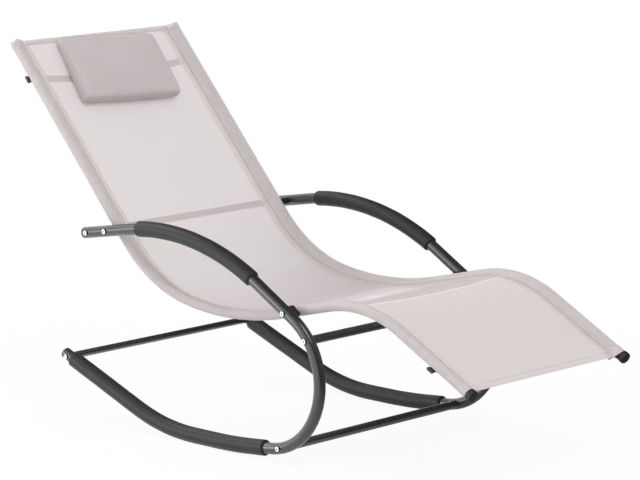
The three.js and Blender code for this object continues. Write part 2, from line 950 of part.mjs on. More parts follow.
function makePillow() {
  const [columns, rows] = [14, 9];
  const round_share = 0.07;
  const centre_down = pillow_from_top + pillow_height / 2;
  const lean = radians(pillow_angle);
  const at = [];
  const push = (u, v, off, bulge) => {
    const pull = pillow_side_pull * (1 - v * v) * u;
    const half_width = pillow_width / 2 + bulge;
    const half_height = pillow_height / 2 + bulge;
    const skew = pillow_skew / 2 * v;
    const across = u * Math.sqrt(1 - round_share * v * v) * half_width - pull - skew;
    const down = v * Math.sqrt(1 - round_share * u * u) * half_height;
    at.push(...back_frame.place(
      centre_down + down * Math.cos(lean) + across * Math.sin(lean),
      -pillow_off_middle + across * Math.cos(lean) - down * Math.sin(lean),
      pillow_off + off,
    ).toArray());
  };
  const edgeAt = (v) => pillow_top_edge + (pillow_bottom_edge - pillow_top_edge) * (v + 1) / 2;
  const grid = (offAt) => {
    const first = at.length / 3;
    for (let j = 0; j <= rows; j++) {
      for (let i = 0; i <= columns; i++) {
        const [u, v] = [2 * i / columns - 1, 2 * j / rows - 1];
        push(u, v, offAt(u, v), 0);
      }
    }
    return first;
  };
  const face = grid((u, v) => edgeAt(v) + pillow_crown * Math.sqrt((1 - u * u) * (1 - v * v)));
  const rear = grid(() => 0);
  const rim = [];
  for (let i = 0; i < columns; i++) rim.push([i, 0]);
  for (let j = 0; j < rows; j++) rim.push([columns, j]);
  for (let i = columns; i > 0; i--) rim.push([i, rows]);
  for (let j = rows; j > 0; j--) rim.push([0, j]);
  const waist = at.length / 3;
  for (const [i, j] of rim) {
    const [u, v] = [2 * i / columns - 1, 2 * j / rows - 1];
    push(u, v, edgeAt(v) / 2, pillow_gusset_bulge);
  }
  const id = (first, i, j) => first + j * (columns + 1) + i;
  const index = [];
  for (let j = 0; j < rows; j++) {
    for (let i = 0; i < columns; i++) {
      const near = [id(face, i, j), id(face, i + 1, j), id(face, i + 1, j + 1), id(face, i, j + 1)];
      const far = [id(rear, i, j), id(rear, i + 1, j), id(rear, i + 1, j + 1), id(rear, i, j + 1)];
      index.push(near[0], near[2], near[1], near[0], near[3], near[2]);
      index.push(far[0], far[1], far[2], far[0], far[2], far[3]);
    }
  }
  rim.forEach(([i, j], k) => {
    const [i2, j2] = rim[(k + 1) % rim.length];
    const [a, b] = [waist + k, waist + (k + 1) % rim.length];
    const [f, g] = [id(face, i, j), id(face, i2, j2)];
    const [r, s] = [id(rear, i, j), id(rear, i2, j2)];
    index.push(f, g, b, f, b, a, a, b, s, a, s, r);
  });
  const geometry = new THREE.BufferGeometry();
  geometry.setAttribute("position", new THREE.Float32BufferAttribute(at, 3));
  geometry.setIndex(index);
  return weld(geometry);
}

function makeStrip(height, off) {
  const top = pillow_from_top + strip_from_pillow_top;
  const strip = new THREE.BoxGeometry(height, strip_width, strip_thickness);
  strip.applyMatrix4(new THREE.Matrix4().makeBasis(
    directionOf(back_frame.origin),
    new THREE.Vector3(0, 1, 0),
    normalOf(back_frame.origin),
  ));
  const centre = back_frame.place(
    top + height / 2,
    -pillow_off_middle,
    off + strip_thickness / 2,
  );
  strip.translate(...centre.toArray());
  return weld(strip);
}

// Assembly

for (const { name, sign } of sides) {
  add(`hoop_${name}`, makeHoop(sign), steel_paint());
  add(
    `armrest_sleeve_${name}`,
    makeSleeve(sign, armrest_sleeve_start, armrest_sleeve_length),
    foam(),
  );
  add(
    `rocker_sleeve_${name}`,
    flattenUnderside(makeSleeve(sign, rocker_sleeve_start, rocker_sleeve_length)),
    foam(),
  );
  add(`armrest_plug_${name}`, makeHoopPlug(sign, hoop_path.at(-1), 1), black_plastic());
  add(`rocker_plug_${name}`, makeHoopPlug(sign, hoop_path[0], -1), black_plastic());
  add(`rail_${name}`, makeRail(sign), steel_paint());
  add(`rail_head_plug_${name}`, makeHeadPlug(sign), black_plastic());
  add(`rail_foot_cap_${name}`, makeFootCap(sign), black_plastic());
  for (const bolt of rail_bolts) {
    const reach = hoop_outer + seat_gap - rail_plane + rail_radius - rail_wall - rail_bolt_end_gap;
    add(`rail_spacer_${bolt.name}_${name}`, makeSpacer(sign, bolt), black_plastic());
    add(`rail_bolt_${bolt.name}_${name}`, makeHoopBolt(bolt.at, sign, reach), zinc());
  }
  for (const bar of crossbars) {
    const place = onPath(hoop_path, bar.s);
    add(`${bar.name}_crossbar_insert_${name}`, makeInsert(bar, sign), zinc());
    add(`${bar.name}_crossbar_bolt_${name}`, makeHoopBolt(place, sign, crossbar_bolt_length), zinc());
  }
  for (const bar of spreaders) {
    add(`${bar.name}_spreader_cap_${name}`, makeSpreaderCap(bar, sign), black_plastic());
    add(`${bar.name}_spreader_screw_${name}`, makeSpreaderScrew(bar, sign), zinc());
  }
}
for (const bar of crossbars) add(`${bar.name}_crossbar`, makeCrossbar(bar), steel_paint());
for (const bar of spreaders) add(`${bar.name}_spreader_bar`, makeSpreader(bar), steel_paint());
add("sling", makeSling(), mesh_fabric());
add("headrest_pillow", makePillow(), pillow_fabric());
add("headrest_hook_strip", makeStrip(hook_strip_height, hook_strip_off), black_plastic());
add(
  "sling_loop_strip",
  makeStrip(hook_strip_height + pillow_travel, strip_off),
  black_plastic(),
);

const whole = new THREE.Box3().setFromObject(chair);
chair.position.x = -(whole.min.x + whole.max.x) / 2;
const group = new THREE.Group();
group.add(chair);

export default group;
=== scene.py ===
# %% [markdown]
# A rocking chaise lounge: two bent steel hoops with foam sleeves, an S-shaped seat of
# stretched mesh cloth between them, and a loose headrest pillow.
#
# The rigid model of the chair is loaded first and fixes every place and size. Each piece
# that shows is then made again, finer, exactly where its plain solid stands.

# %% Load the chair's frame
import math

import bmesh
import bpy
import numpy as np
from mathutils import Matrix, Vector
from mathutils.bvhtree import BVHTree


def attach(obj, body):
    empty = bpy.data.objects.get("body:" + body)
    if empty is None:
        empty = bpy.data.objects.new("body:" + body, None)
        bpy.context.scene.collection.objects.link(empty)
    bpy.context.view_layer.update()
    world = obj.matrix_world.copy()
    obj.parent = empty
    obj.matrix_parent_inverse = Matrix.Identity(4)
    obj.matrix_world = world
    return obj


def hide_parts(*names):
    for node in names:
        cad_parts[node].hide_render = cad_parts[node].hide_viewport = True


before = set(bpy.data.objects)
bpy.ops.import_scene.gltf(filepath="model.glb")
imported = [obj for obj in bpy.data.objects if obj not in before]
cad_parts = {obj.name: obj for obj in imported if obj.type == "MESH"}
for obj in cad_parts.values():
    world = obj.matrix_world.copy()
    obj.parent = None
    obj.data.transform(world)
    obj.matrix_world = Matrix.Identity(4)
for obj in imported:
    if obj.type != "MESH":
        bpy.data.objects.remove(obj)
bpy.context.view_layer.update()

mm = 0.001

# %% [markdown]
# The camera comes first. A long lens far away keeps the two hoops nearly parallel, as they
# are in a shop picture, so the view is slightly from above and from the foot end.

# %% Camera
camera_place = (4.6832, -4.9349, 1.6348)
camera_target = (0.0319, 0, 0.4273)
long_lens = 175.14
film_width = 36


def in_scene(name, data):
    """A new object, linked into the scene."""
    thing = bpy.data.objects.new(name, data)
    bpy.context.scene.collection.objects.link(thing)
    return thing


def aim(thing, place, target):
    """Stands a camera or lamp at place, looking at target."""
    thing.location = place
    thing.rotation_euler = (Vector(target) - Vector(place)).to_track_quat("-Z", "Y").to_euler()


lens = bpy.data.cameras.new("shop_lens")
lens.lens = long_lens
lens.sensor_width = film_width
lens.clip_end = 100
camera = in_scene("camera", lens)
aim(camera, camera_place, camera_target)
bpy.context.scene.camera = camera
print("camera", [round(v, 2) for v in camera.location])

# %% [markdown]
# Node trees are long to write out by hand. One helper adds a node, sets its options and
# fills its inputs, either with plain values or with wires from other nodes. The others are
# built on it: a sum, a change of range, a blend of two colours, a noise and an empty group.

# %% Helpers for node trees
def fill(tree, socket, value):
    """Gives a socket a wire if the value is a socket too, or else the plain value."""
    if isinstance(value, bpy.types.NodeSocket):
        tree.links.new(value, socket)
    else:
        socket.default_value = value


def wire(tree, kind, inputs=None, **options):
    """A new node with its options set and its inputs filled."""
    node = tree.nodes.new(kind)
    for name, value in options.items():
        setattr(node, name, value)
    for name, value in (inputs or {}).items():
        fill(tree, node.inputs[name], value)
    return node


def maths(tree, operation, *values):
    """The result of one Math node."""
    return wire(tree, "ShaderNodeMath", dict(enumerate(values)), operation=operation).outputs[0]


def remap(tree, value, low, high, start=0.0, end=1.0, easing="LINEAR"):
    """Low where value is at start, high where it is at end, and in between by its share."""
    return wire(tree, "ShaderNodeMapRange", {
        "Value": value,
        "From Min": start,
        "From Max": end,
        "To Min": low,
        "To Max": high,
    }, interpolation_type=easing).outputs[0]


def blend_colours(tree, share, low, high):
    """Low where share is 0 and high where it is 1."""
    return wire(tree, "ShaderNodeMix", {0: share, 6: low, 7: high}, data_type="RGBA").outputs[2]


def noise(tree, vector, scale, detail, roughness=0.5):
    return wire(tree, "ShaderNodeTexNoise", {
        "Vector": vector,
        "Scale": scale,
        "Detail": detail,
        "Roughness": roughness,
    }).outputs["Fac"]


def new_tree(name, kind, inputs, outputs):
    """An empty group and its two end nodes. Sockets come with a type or a first value."""
    tree = bpy.data.node_groups.new(name, kind + "NodeTree")
    for way, sockets in (("INPUT", inputs), ("OUTPUT", outputs)):
        for label, value in sockets.items():
            typed = isinstance(value, str)
            socket_type = "NodeSocket" + (value if typed else type(value).__name__.title())
            socket = tree.interface.new_socket(label, in_out=way, socket_type=socket_type)
            if not typed:
                socket.default_value = value
    source = tree.nodes.new("NodeGroupInput").outputs
    sink = tree.nodes.new("NodeGroupOutput").inputs
    return tree, source, sink


def srgb(red, green, blue):
    """A colour picked from a picture, 0 to 255, as the linear colour that nodes take."""
    shares = np.array([red, green, blue]) / 255
    linear = np.where(shares <= 0.04045, shares / 12.92, ((shares + 0.055) / 1.055) ** 2.4)
    return (*linear.tolist(), 1)


# %% [markdown]
# The light is plain and soft: an even white surround, a wide lamp high in front of the
# chair, a low wide one at the sitter's right that draws a pale band down each tube, and a
# high one behind, which brightens the armrest and lights the legs' part of the cloth.
# The floor shows white to the camera, more so further out, and still takes a faint shadow.
# Reflections see a room that is bright low at the sitter's right and dim high in front,
# which gives the round tubes a light side and a dark side.

# %% Studio
surround_level = 0.84
mirrored_dim = 0.1
mirrored_bright = 1.4
bright_side = (-0.6, -0.5, -0.5)
surround_turn = (-0.25, 0.1)
floor_turn = (-0.6, 0.4)
lamp_target = (0, 0, 0.4)
lamps = {
    "high_lamp": ((2.0, -0.8, 3.5), 1.5, 35),
    "side_lamp": ((-2.6, -3.6, 0.9), 2.4, 64),
    "rear_lamp": ((-2.4, -0.8, 2.7), 1.0, 19),
}
floor_half = 14
floor_white_near = 0.92
whiter_from, white_from = 0.9, 1.9
chalk_grey = 0.84
plain_white = (1, 1, 1, 1)


def ray_kinds(tree):
    """Whether a ray looks straight at a thing, and whether it is reflected."""
    seen = wire(tree, "ShaderNodeLightPath").outputs
    straight_look = maths(tree, "MAXIMUM", seen["Is Camera Ray"], seen["Is Transmission Ray"])
    return straight_look, seen["Is Glossy Ray"]


def mirrored_room(tree, vector, dim_until, bright_from):
    """The level that reflections see, by how far the vector goes to the bright side."""
    towards = wire(tree, "ShaderNodeVectorMath", {
        0: vector,
        1: bright_side,
    }, operation="DOT_PRODUCT").outputs["Value"]
    ends = (mirrored_dim, mirrored_bright, dim_until, bright_from)
    return remap(tree, towards, *ends, "SMOOTHSTEP")


surround = bpy.data.worlds.new("surround")
bpy.context.scene.world = surround
surround.use_nodes = True
tree = surround.node_tree
straight_look, reflected = ray_kinds(tree)
looks = wire(tree, "ShaderNodeTexCoord").outputs["Generated"]
level = remap(tree, straight_look, surround_level, 1.0)
level = remap(tree, reflected, level, mirrored_room(tree, looks, *surround_turn))
backdrop = next(n for n in tree.nodes if n.type == "BACKGROUND")
fill(tree, backdrop.inputs["Color"], plain_white)
fill(tree, backdrop.inputs["Strength"], level)

for name, (place, width, watts) in lamps.items():
    lamp = bpy.data.lights.new(name, "AREA")
    lamp.size = width
    lamp.energy = watts
    aim(in_scene(name, lamp), place, lamp_target)

floor_mesh = bpy.data.meshes.new("studio_floor")
corners = ((-1, -1), (1, -1), (1, 1), (-1, 1))
corners = [(x * floor_half, y * floor_half, 0) for x, y in corners]
floor_mesh.from_pydata(corners, [], [(0, 1, 2, 3)])
floor = in_scene("studio_floor", floor_mesh)
floor_paint = bpy.data.materials.new("studio_floor")
floor_paint.use_nodes = True
tree = floor_paint.node_tree
tree.nodes.clear()
straight_look, reflected = ray_kinds(tree)
spot = wire(tree, "ShaderNodeTexCoord").outputs["Object"]
far = wire(tree, "ShaderNodeVectorMath", {0: spot}, operation="LENGTH").outputs["Value"]
white_share = remap(tree, far, floor_white_near, 1.0, whiter_from, white_from, "SMOOTHSTEP")
looked_at = maths(tree, "MAXIMUM", straight_look, reflected)
chalk = wire(tree, "ShaderNodeBsdfDiffuse", {"Color": (chalk_grey, chalk_grey, chalk_grey, 1)})
white = wire(tree, "ShaderNodeEmission", {
    "Color": plain_white,
    "Strength": remap(tree, reflected, 1.0, mirrored_room(tree, spot, *floor_turn)),
})
mix = wire(tree, "ShaderNodeMixShader", {
    0: maths(tree, "MULTIPLY", looked_at, white_share),
    1: chalk.outputs[0],
    2: white.outputs[0],
})
wire(tree, "ShaderNodeOutputMaterial", {"Surface": mix.outputs[0]})
floor_mesh.materials.append(floor_paint)
bpy.context.scene.view_settings.view_transform = "Standard"
print("lamps", list(lamps))

# %% [markdown]
# Surface effects that several finishes share are small node groups, each made once:
# a woven mesh with open holes, a fine grain for paint, foam and moulded plastic, a slow
# drift of colour, and the scuffs that build up near the floor.

# %% Effect: woven mesh
# Pitch is the distance between yarns in metres. Open is how much of a pitch stays bare.
woven, given, put = new_tree(
    "woven_mesh",
    "Shader",
    {"Vector": "Vector", "Pitch": 0.0013, "Open": 0.36},
    {"Height": "Float", "Hole": "Float", "Tone": "Float"},
)
parts = wire(woven, "ShaderNodeSeparateXYZ", {0: given["Vector"]}).outputs
gaps, crowns, counts = [], [], []
for part in (parts[0], parts[1]):
    turn = maths(woven, "DIVIDE", part, given["Pitch"])
    off_centre = maths(woven, "SUBTRACT", maths(woven, "FRACT", turn), 0.5)
    gap = maths(woven, "MULTIPLY", maths(woven, "ABSOLUTE", off_centre), 2.0)
    gaps.append(gap)
    crowns.append(maths(woven, "SUBTRACT", 1.0, maths(woven, "POWER", gap, 2.0)))
    counts.append(maths(woven, "FLOOR", turn))
edge = maths(woven, "SUBTRACT", 1.0, given["Open"])
fill(woven, put["Hole"], maths(woven, "GREATER_THAN", maths(woven, "MINIMUM", *gaps), edge))
over = maths(woven, "PINGPONG", maths(woven, "ADD", *counts), 1.0)
upper = maths(woven, "MULTIPLY", crowns[0], over)
lower = maths(woven, "MULTIPLY", crowns[1], maths(woven, "SUBTRACT", 1.0, over))
fill(woven, put["Height"], maths(woven, "MAXIMUM", upper, lower))
fill(woven, put["Tone"], noise(woven, given["Vector"], 260.0, 2.0))

# %% Effect: fine grain
grain, given, put = new_tree(
    "fine_grain",
    "Shader",
    {"Vector": "Vector", "Grain size": 0.0012, "Pits": 0.0},
    {"Height": "Float", "Tone": "Float"},
)
finer = maths(grain, "DIVIDE", 1.0, given["Grain size"])
lumps = noise(grain, given["Vector"], finer, 3.0)
cells = wire(grain, "ShaderNodeTexVoronoi", {
    "Vector": given["Vector"],
    "Scale": finer,
}).outputs["Distance"]
pit = maths(grain, "MULTIPLY", maths(grain, "SUBTRACT", 0.7, cells), given["Pits"])
fill(grain, put["Height"], maths(grain, "SUBTRACT", lumps, pit))
fill(grain, put["Tone"], lumps)

# %% Effect: slow drift of colour
drift, given, put = new_tree(
    "slow_drift",
    "Shader",
    {"Vector": "Vector", "Patch size": 0.12, "Strength": 0.5},
    {"Share": "Float"},
)
wider = maths(drift, "DIVIDE", 1.0, given["Patch size"])
clouds = noise(drift, given["Vector"], wider, 4.0, 0.55)
spread = maths(drift, "MULTIPLY", maths(drift, "SUBTRACT", clouds, 0.5), given["Strength"])
fill(drift, put["Share"], maths(drift, "ADD", spread, 0.5))

# %% Effect: scuffs near the floor
# Reach is the height in metres at which the scuffs have faded out. They are drawn out
# along the chair, the way that it rolls.
scuffs, given, put = new_tree(
    "floor_scuffs",
    "Shader",
    {"Vector": "Vector", "Reach": 0.03, "Strength": 0.5},
    {"Mask": "Float"},
)
height = wire(scuffs, "ShaderNodeSeparateXYZ", {0: given["Vector"]}).outputs[2]
near = remap(scuffs, height, 1.0, 0.0, 0.0, given["Reach"])
drawn_out = wire(scuffs, "ShaderNodeMapping", {
    "Vector": given["Vector"],
    "Scale": (40.0, 260.0, 260.0),
}).outputs[0]
sharp = remap(scuffs, noise(scuffs, drawn_out, 1.0, 5.0), 0.0, 1.0, 0.48, 0.68)
mask = maths(scuffs, "MULTIPLY", maths(scuffs, "MULTIPLY", near, sharp), given["Strength"])
fill(scuffs, put["Mask"], mask)
print("effects", [t.name for t in (woven, grain, drift, scuffs)])

# %% [markdown]
# Each finish is one material. Colours were picked for even light, so they stay as written.
# The shader itself stands in the material, and the groups above only feed it.

# %% Helpers for finishes
def new_finish(name, **plain):
    """A material, its tree, its one shader, and the place on the object as vectors."""
    finish = bpy.data.materials.new(name)
    finish.use_nodes = True
    tree = finish.node_tree
    shader = next(n for n in tree.nodes if n.type == "BSDF_PRINCIPLED")
    for label, value in plain.items():
        fill(tree, shader.inputs[label.replace("_", " ")], value)
    return finish, tree, shader, wire(tree, "ShaderNodeTexCoord").outputs


def use(tree, group, **inputs):
    """Places an effect in a material and returns its outputs."""
    named = {label.replace("_", " "): value for label, value in inputs.items()}
    return wire(tree, "ShaderNodeGroup", named, node_tree=group).outputs


def raise_surface(tree, shader, height, depth, strength):
    """Bumps the surface by height, depth metres high."""
    bump = wire(tree, "ShaderNodeBump", {"Height": height, "Distance": depth, "Strength": strength})
    fill(tree, shader.inputs["Normal"], bump.outputs[0])


# %% Hard finishes: steel paint, foam skin, plastic and zinc
# The foot of each bolt head and the bottom of its socket carry an attribute that marks painted
# shade: a dark colour stands there for the shade round the head.
def hard_finish(
    name, grain_size, patches, colours, roughness, bump,
    pits=0.0, scuffed=None, painted_shade=None, **plain,
):
    """A grained surface whose colour drifts, with scuffs or painted shade laid over it.

    patches is the drift's (size, strength), bump is (depth, strength) and scuffed is
    (reach, strength, colour).
    """
    finish, tree, shader, place = new_finish(name, **plain)
    spot = place["Object"]
    skin = use(tree, grain, Vector=spot, Grain_size=grain_size, Pits=pits)
    share = use(tree, drift, Vector=spot, Patch_size=patches[0], Strength=patches[1])["Share"]
    colour = blend_colours(tree, share, *colours)
    if scuffed:
        reach, strength, bared = scuffed
        rubbed = use(tree, scuffs, Vector=spot, Reach=reach, Strength=strength)["Mask"]
        colour = blend_colours(tree, rubbed, colour, bared)
    # Painted shade: a dark colour where the mesh's attribute marks the shade round a bolt head.
    if painted_shade:
        shade_share = wire(tree, "ShaderNodeAttribute", attribute_name="painted_shade").outputs["Fac"]
        colour = blend_colours(tree, shade_share, colour, painted_shade)
    fill(tree, shader.inputs["Base Color"], colour)
    fill(tree, shader.inputs["Roughness"], remap(tree, skin["Tone"], *roughness))
    raise_surface(tree, shader, skin["Height"], *bump)
    return finish


paint = hard_finish(
    "powder_coat",
    grain_size=1.6 * mm,
    patches=(90 * mm, 0.9),
    colours=(srgb(30, 30, 31), srgb(42, 42, 44)),
    roughness=(0.2, 0.32),
    bump=(0.06 * mm, 0.5),
    scuffed=(200 * mm, 0.25, srgb(120, 118, 116)),
    Specular_IOR_Level=0.9,
)
foam = hard_finish(
    "foam_skin",
    grain_size=0.9 * mm,
    patches=(50 * mm, 1.1),
    colours=(srgb(32, 32, 32), srgb(45, 45, 45)),
    roughness=(0.36, 0.56),
    bump=(0.2 * mm, 0.7),
    pits=0.6,
    scuffed=(12 * mm, 0.6, srgb(112, 110, 106)),
    Specular_IOR_Level=0.3,
)
plastic = hard_finish(
    "moulded_plastic",
    grain_size=0.6 * mm,
    patches=(20 * mm, 0.8),
    colours=(srgb(20, 20, 21), srgb(38, 38, 39)),
    roughness=(0.38, 0.58),
    bump=(0.08 * mm, 0.5),
)
zinc = hard_finish(
    "zinc_plate",
    grain_size=0.8 * mm,
    patches=(6 * mm, 1.0),
    colours=(srgb(226, 227, 229), srgb(250, 250, 250)),
    roughness=(0.22, 0.4),
    bump=(0.05 * mm, 0.4),
    # A dark colour painted as shade round the foot of each head and in its socket.
    painted_shade=srgb(34, 33, 32),
    Metallic=1.0,
)

# %% Cloth finishes
# The sling's holes are open, except where the attribute "backed" says that a second cloth
# fills them. There they take the cloth's colour, darkened as painted shade of that cloth
# behind the front layer. The pillow's yarns are closed by the filling behind them.
yarn_pitch = 1.3 * mm


def cloth_finish(name, bare, patch_size, deep, pale, **plain):
    """The start of a woven finish, still without its last colour."""
    finish, tree, shader, place = new_finish(name, Sheen_Roughness=0.4, **plain)
    weave = use(tree, woven, Vector=place["UV"], Pitch=yarn_pitch, Open=bare)
    share = use(tree, drift, Vector=place["Object"], Patch_size=patch_size, Strength=0.9)
    raise_surface(tree, shader, weave["Height"], 0.25 * mm, 0.7)
    return finish, tree, shader, weave, blend_colours(tree, share["Share"], deep, pale)


def sling_finish():
    finish, tree, shader, weave, colour = cloth_finish(
        "sling_cloth", 0.52, 200 * mm, srgb(224, 215, 215), srgb(230, 221, 221),
        Roughness=0.62, Specular_IOR_Level=0.25, Sheen_Weight=0.12,
    )
    slub = maths(tree, "MULTIPLY", weave["Tone"], 0.14)
    colour = blend_colours(tree, slub, colour, srgb(176, 166, 166))
    backed = wire(tree, "ShaderNodeAttribute", attribute_name="backed").outputs["Fac"]
    filled = maths(tree, "MULTIPLY", weave["Hole"], maths(tree, "GREATER_THAN", backed, 0.5))
    # Holes filled by the second cloth take its colour darkened by painted shade.
    back_shade_share = maths(tree, "MULTIPLY", filled, 0.9)
    colour = blend_colours(tree, back_shade_share, colour, srgb(190, 176, 176))
    fill(tree, shader.inputs["Base Color"], colour)
    open_hole = maths(tree, "SUBTRACT", weave["Hole"], filled)
    fill(tree, shader.inputs["Alpha"], maths(tree, "SUBTRACT", 1.0, open_hole))
    return finish


def pillow_finish():
    finish, tree, shader, weave, colour = cloth_finish(
        "pillow_cloth", 0.34, 70 * mm, srgb(189, 179, 180), srgb(204, 194, 195),
        Roughness=0.75, Specular_IOR_Level=0.2, Sheen_Weight=0.15,
    )
    # The weave's holes are darkened as painted shade in the recesses between the yarns.
    shade = maths(tree, "MULTIPLY", weave["Hole"], 0.4)
    colour = blend_colours(tree, shade, colour, srgb(120, 112, 114))
    fill(tree, shader.inputs["Base Color"], colour)
    return finish


mesh_cloth = sling_finish()
padded_cloth = pillow_finish()

# %% Fuzzy finishes: sewing thread, and hook and loop tape
def fuzzy_finish(name, low, high, grain_size=0.3 * mm, pits=0.0, bump=(0.1 * mm, 0.5), rough=0.6):
    finish, tree, shader, place = new_finish(name, Roughness=rough)
    fuzz = use(tree, grain, Vector=place["Object"], Grain_size=grain_size, Pits=pits)
    fill(tree, shader.inputs["Base Color"], blend_colours(tree, fuzz["Tone"], low, high))
    raise_surface(tree, shader, fuzz["Height"], *bump)
    return finish


# On the sling's near bead and knee bead, this pale colour is a painted highlight.
thread = fuzzy_finish("pale_thread", srgb(244, 240, 239), srgb(255, 253, 252))
# A dark thread that paints the shade in the stitch holes.
shaded_thread = fuzzy_finish("shaded_thread", srgb(118, 110, 110), srgb(150, 142, 142))
plain_thread = fuzzy_finish("plain_thread", srgb(186, 177, 177), srgb(202, 193, 193))
tape = fuzzy_finish(
    "hook_tape", srgb(150, 143, 144), srgb(190, 183, 183), 1.2 * mm, 1.0, (0.8 * mm, 0.8), 0.9,
)
print("finishes", len(bpy.data.materials))

# %% [markdown]
# Every tube of this chair is bent in one flat plane, like wire on a jig. A path is laid as
# a workshop drawing gives it, as straight runs and bends, and is cut into short steps.
# Rows hold x, z, the heading in radians, and the distance along the tube.

# %% Bent paths
path_step = 0.007
seat_gap = 0.3 * mm


def straight(length):
    return length * mm, 0.0


def bend(radius, angle):
    return radius * mm * math.radians(abs(angle)), math.radians(angle)


def lay_path(x, z, heading, legs):
    """The rows of a path from its start, down its legs of (length, turn)."""
    rows = [(x, z, math.radians(heading), 0.0)]
    for length, turn in legs:
        x0, z0, from_heading, from_run = rows[-1]
        spans = max(1, math.ceil(length / path_step))
        for i in range(1, spans + 1):
            run = length * i / spans
            turned_by = turn * i / spans
            chord = 2 * length / turn * math.sin(turned_by / 2) if turn else run
            mean = from_heading + turned_by / 2
            rows.append((
                x0 + chord * math.cos(mean),
                z0 + chord * math.sin(mean),
                from_heading + turned_by,
                from_run + run,
            ))
    return np.array(rows)


def on_path(path, run):
    """The row at a distance along the path."""
    row = [np.interp(run, path[:, 3], path[:, i]) for i in range(3)]
    return np.array([*row, run])


def cut_path(path, start, end):
    inside = path[(path[:, 3] > start + 1e-5) & (path[:, 3] < end - 1e-5)]
    return np.vstack([on_path(path, start), inside, on_path(path, end)])


def lowest_meeting(first, second):
    """Distances along two paths at which they come closest."""
    gaps = np.hypot(first[:, None, 0] - second[None, :, 0], first[:, None, 1] - second[None, :, 1])
    i, j = np.unravel_index(gaps.argmin(), gaps.shape)
    return first[i, 3], second[j, 3]


# %% Centre lines of hoops and rails
centre_shift = -44.82 * mm
hoop_plane = 288 * mm
hoop_radius = 12.75 * mm
sleeve_radius = 17.5 * mm
level_run = 68
front_bend = bend(157, 144.8)
arm_rise = straight(118)
arm_bend = bend(590, 40.1)
arm_tail = straight(146)
floor_line = sleeve_radius - 0.5 * mm
level_start = -level_run / 2 * mm + centre_shift

heel_part = lay_path(level_start, floor_line, 180, [bend(490, -21), straight(252)])
toe_legs = [straight(level_run), bend(1250, 4.8), straight(65)]
toe_legs += [front_bend, arm_rise, arm_bend, arm_tail]
toe_rows = lay_path(level_start, floor_line, 0, toe_legs)
heel_run = heel_part[-1, 3]
heel_rows = heel_part[::-1].copy()
heel_rows[:, 2] -= math.pi
heel_rows[:, 3] = heel_run - heel_rows[:, 3]
toe_rows[:, 3] += heel_run
hoop_path = np.vstack([heel_rows[:-1], toe_rows])
hoop_run = hoop_path[-1, 3]
bend_end = hoop_run - arm_rise[0] - arm_bend[0] - arm_tail[0]
bend_start = bend_end - front_bend[0]

rail_plane = 251 * mm
rail_radius = 11 * mm
rear_bolt_from_tail = 76 * mm
rear_bolt_on_rail = 519 * mm
back_tilt = 48.5
rear_bolt = on_path(hoop_path, hoop_run - rear_bolt_from_tail)
rail_path = lay_path(
    rear_bolt[0] - rear_bolt_on_rail * math.cos(math.radians(back_tilt)),
    rear_bolt[1] + rear_bolt_on_rail * math.sin(math.radians(back_tilt)),
    -back_tilt,
    [straight(552), bend(337, 38.4), bend(683, 24), straight(144), bend(277, -42), straight(218)],
)
rail_run = rail_path[-1, 3]
armrest_front = cut_path(hoop_path, bend_start, hoop_run - 0.25)
seat_part = cut_path(rail_path, 0.56, rail_run)
front_on_hoop, front_on_rail = lowest_meeting(armrest_front, seat_part)
front_bolt = on_path(hoop_path, front_on_hoop)
print("hoop", round(hoop_run, 4), "rail", round(rail_run, 4), "front bolt", front_bolt.round(4))

# %% [markdown]
# Rings of points joined by faces make most turned and swept shapes. The same helper caps
# the ends of a rod, or closes a sleeve back on itself through its bore. Each finished
# piece then stands in for its solids and rides on a body.

# %% Helpers for meshes
sides = (("right", -1), ("left", 1))


def keep(mesh, name, finish, sharp_angle=38):
    """Puts a mesh in the scene, smooth except along its sharp edges."""
    mesh.materials.clear()
    mesh.materials.append(finish)
    mesh.shade_smooth()
    mesh.set_sharp_from_angle(angle=math.radians(sharp_angle))
    return in_scene(name, mesh)


def stand_in(piece, slot, *nodes, body="chair"):
    """Puts a piece in place of its solids and on its body. Its slot is not used."""
    if nodes:
        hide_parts(*nodes)
    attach(piece, body)


def mesh_of(shape, name="shape"):
    """Turns a bmesh into a mesh and frees it."""
    mesh = bpy.data.meshes.new(name)
    shape.to_mesh(mesh)
    shape.free()
    return mesh


def joined_rings(rings, closed=False):
    """A closed mesh through rings of points, its ends capped, or joined if it is closed."""
    rings = np.asarray(rings, float)
    count, around = rings.shape[:2]
    shape = bmesh.new()
    points = [[shape.verts.new(p) for p in ring] for ring in rings]
    for k in range(count if closed else count - 1):
        low, high = points[k], points[(k + 1) % count]
        for i in range(around):
            j = (i + 1) % around
            shape.faces.new((low[i], low[j], high[j], high[i]))
    if not closed:
        shape.faces.new(points[0][::-1])
        shape.faces.new(points[-1])
    bmesh.ops.remove_doubles(shape, verts=shape.verts, dist=1e-6)
    bmesh.ops.recalc_face_normals(shape, faces=shape.faces)
    return mesh_of(shape)


def join_meshes(meshes):
    """One mesh from several, with the attributes of the first kept on all."""
    shape = bmesh.new()
    for mesh in meshes:
        shape.from_mesh(mesh)
    return mesh_of(shape)


def round_angles(count, shift=0.0):
    return (np.arange(count) + shift) * 2 * math.pi / count


def side_rings(path, plane, radii, around):
    """One ring across the path at each of its rows, radii metres wide."""
    angle = round_angles(around)
    rings = []
    for (x, z, heading, _), radius in zip(path, np.broadcast_to(radii, len(path))):
        off = radius * np.cos(angle)
        rings.append(np.column_stack([
            x - math.sin(heading) * off,
            plane + radius * np.sin(angle),
            z + math.cos(heading) * off,
        ]))
    return np.array(rings)


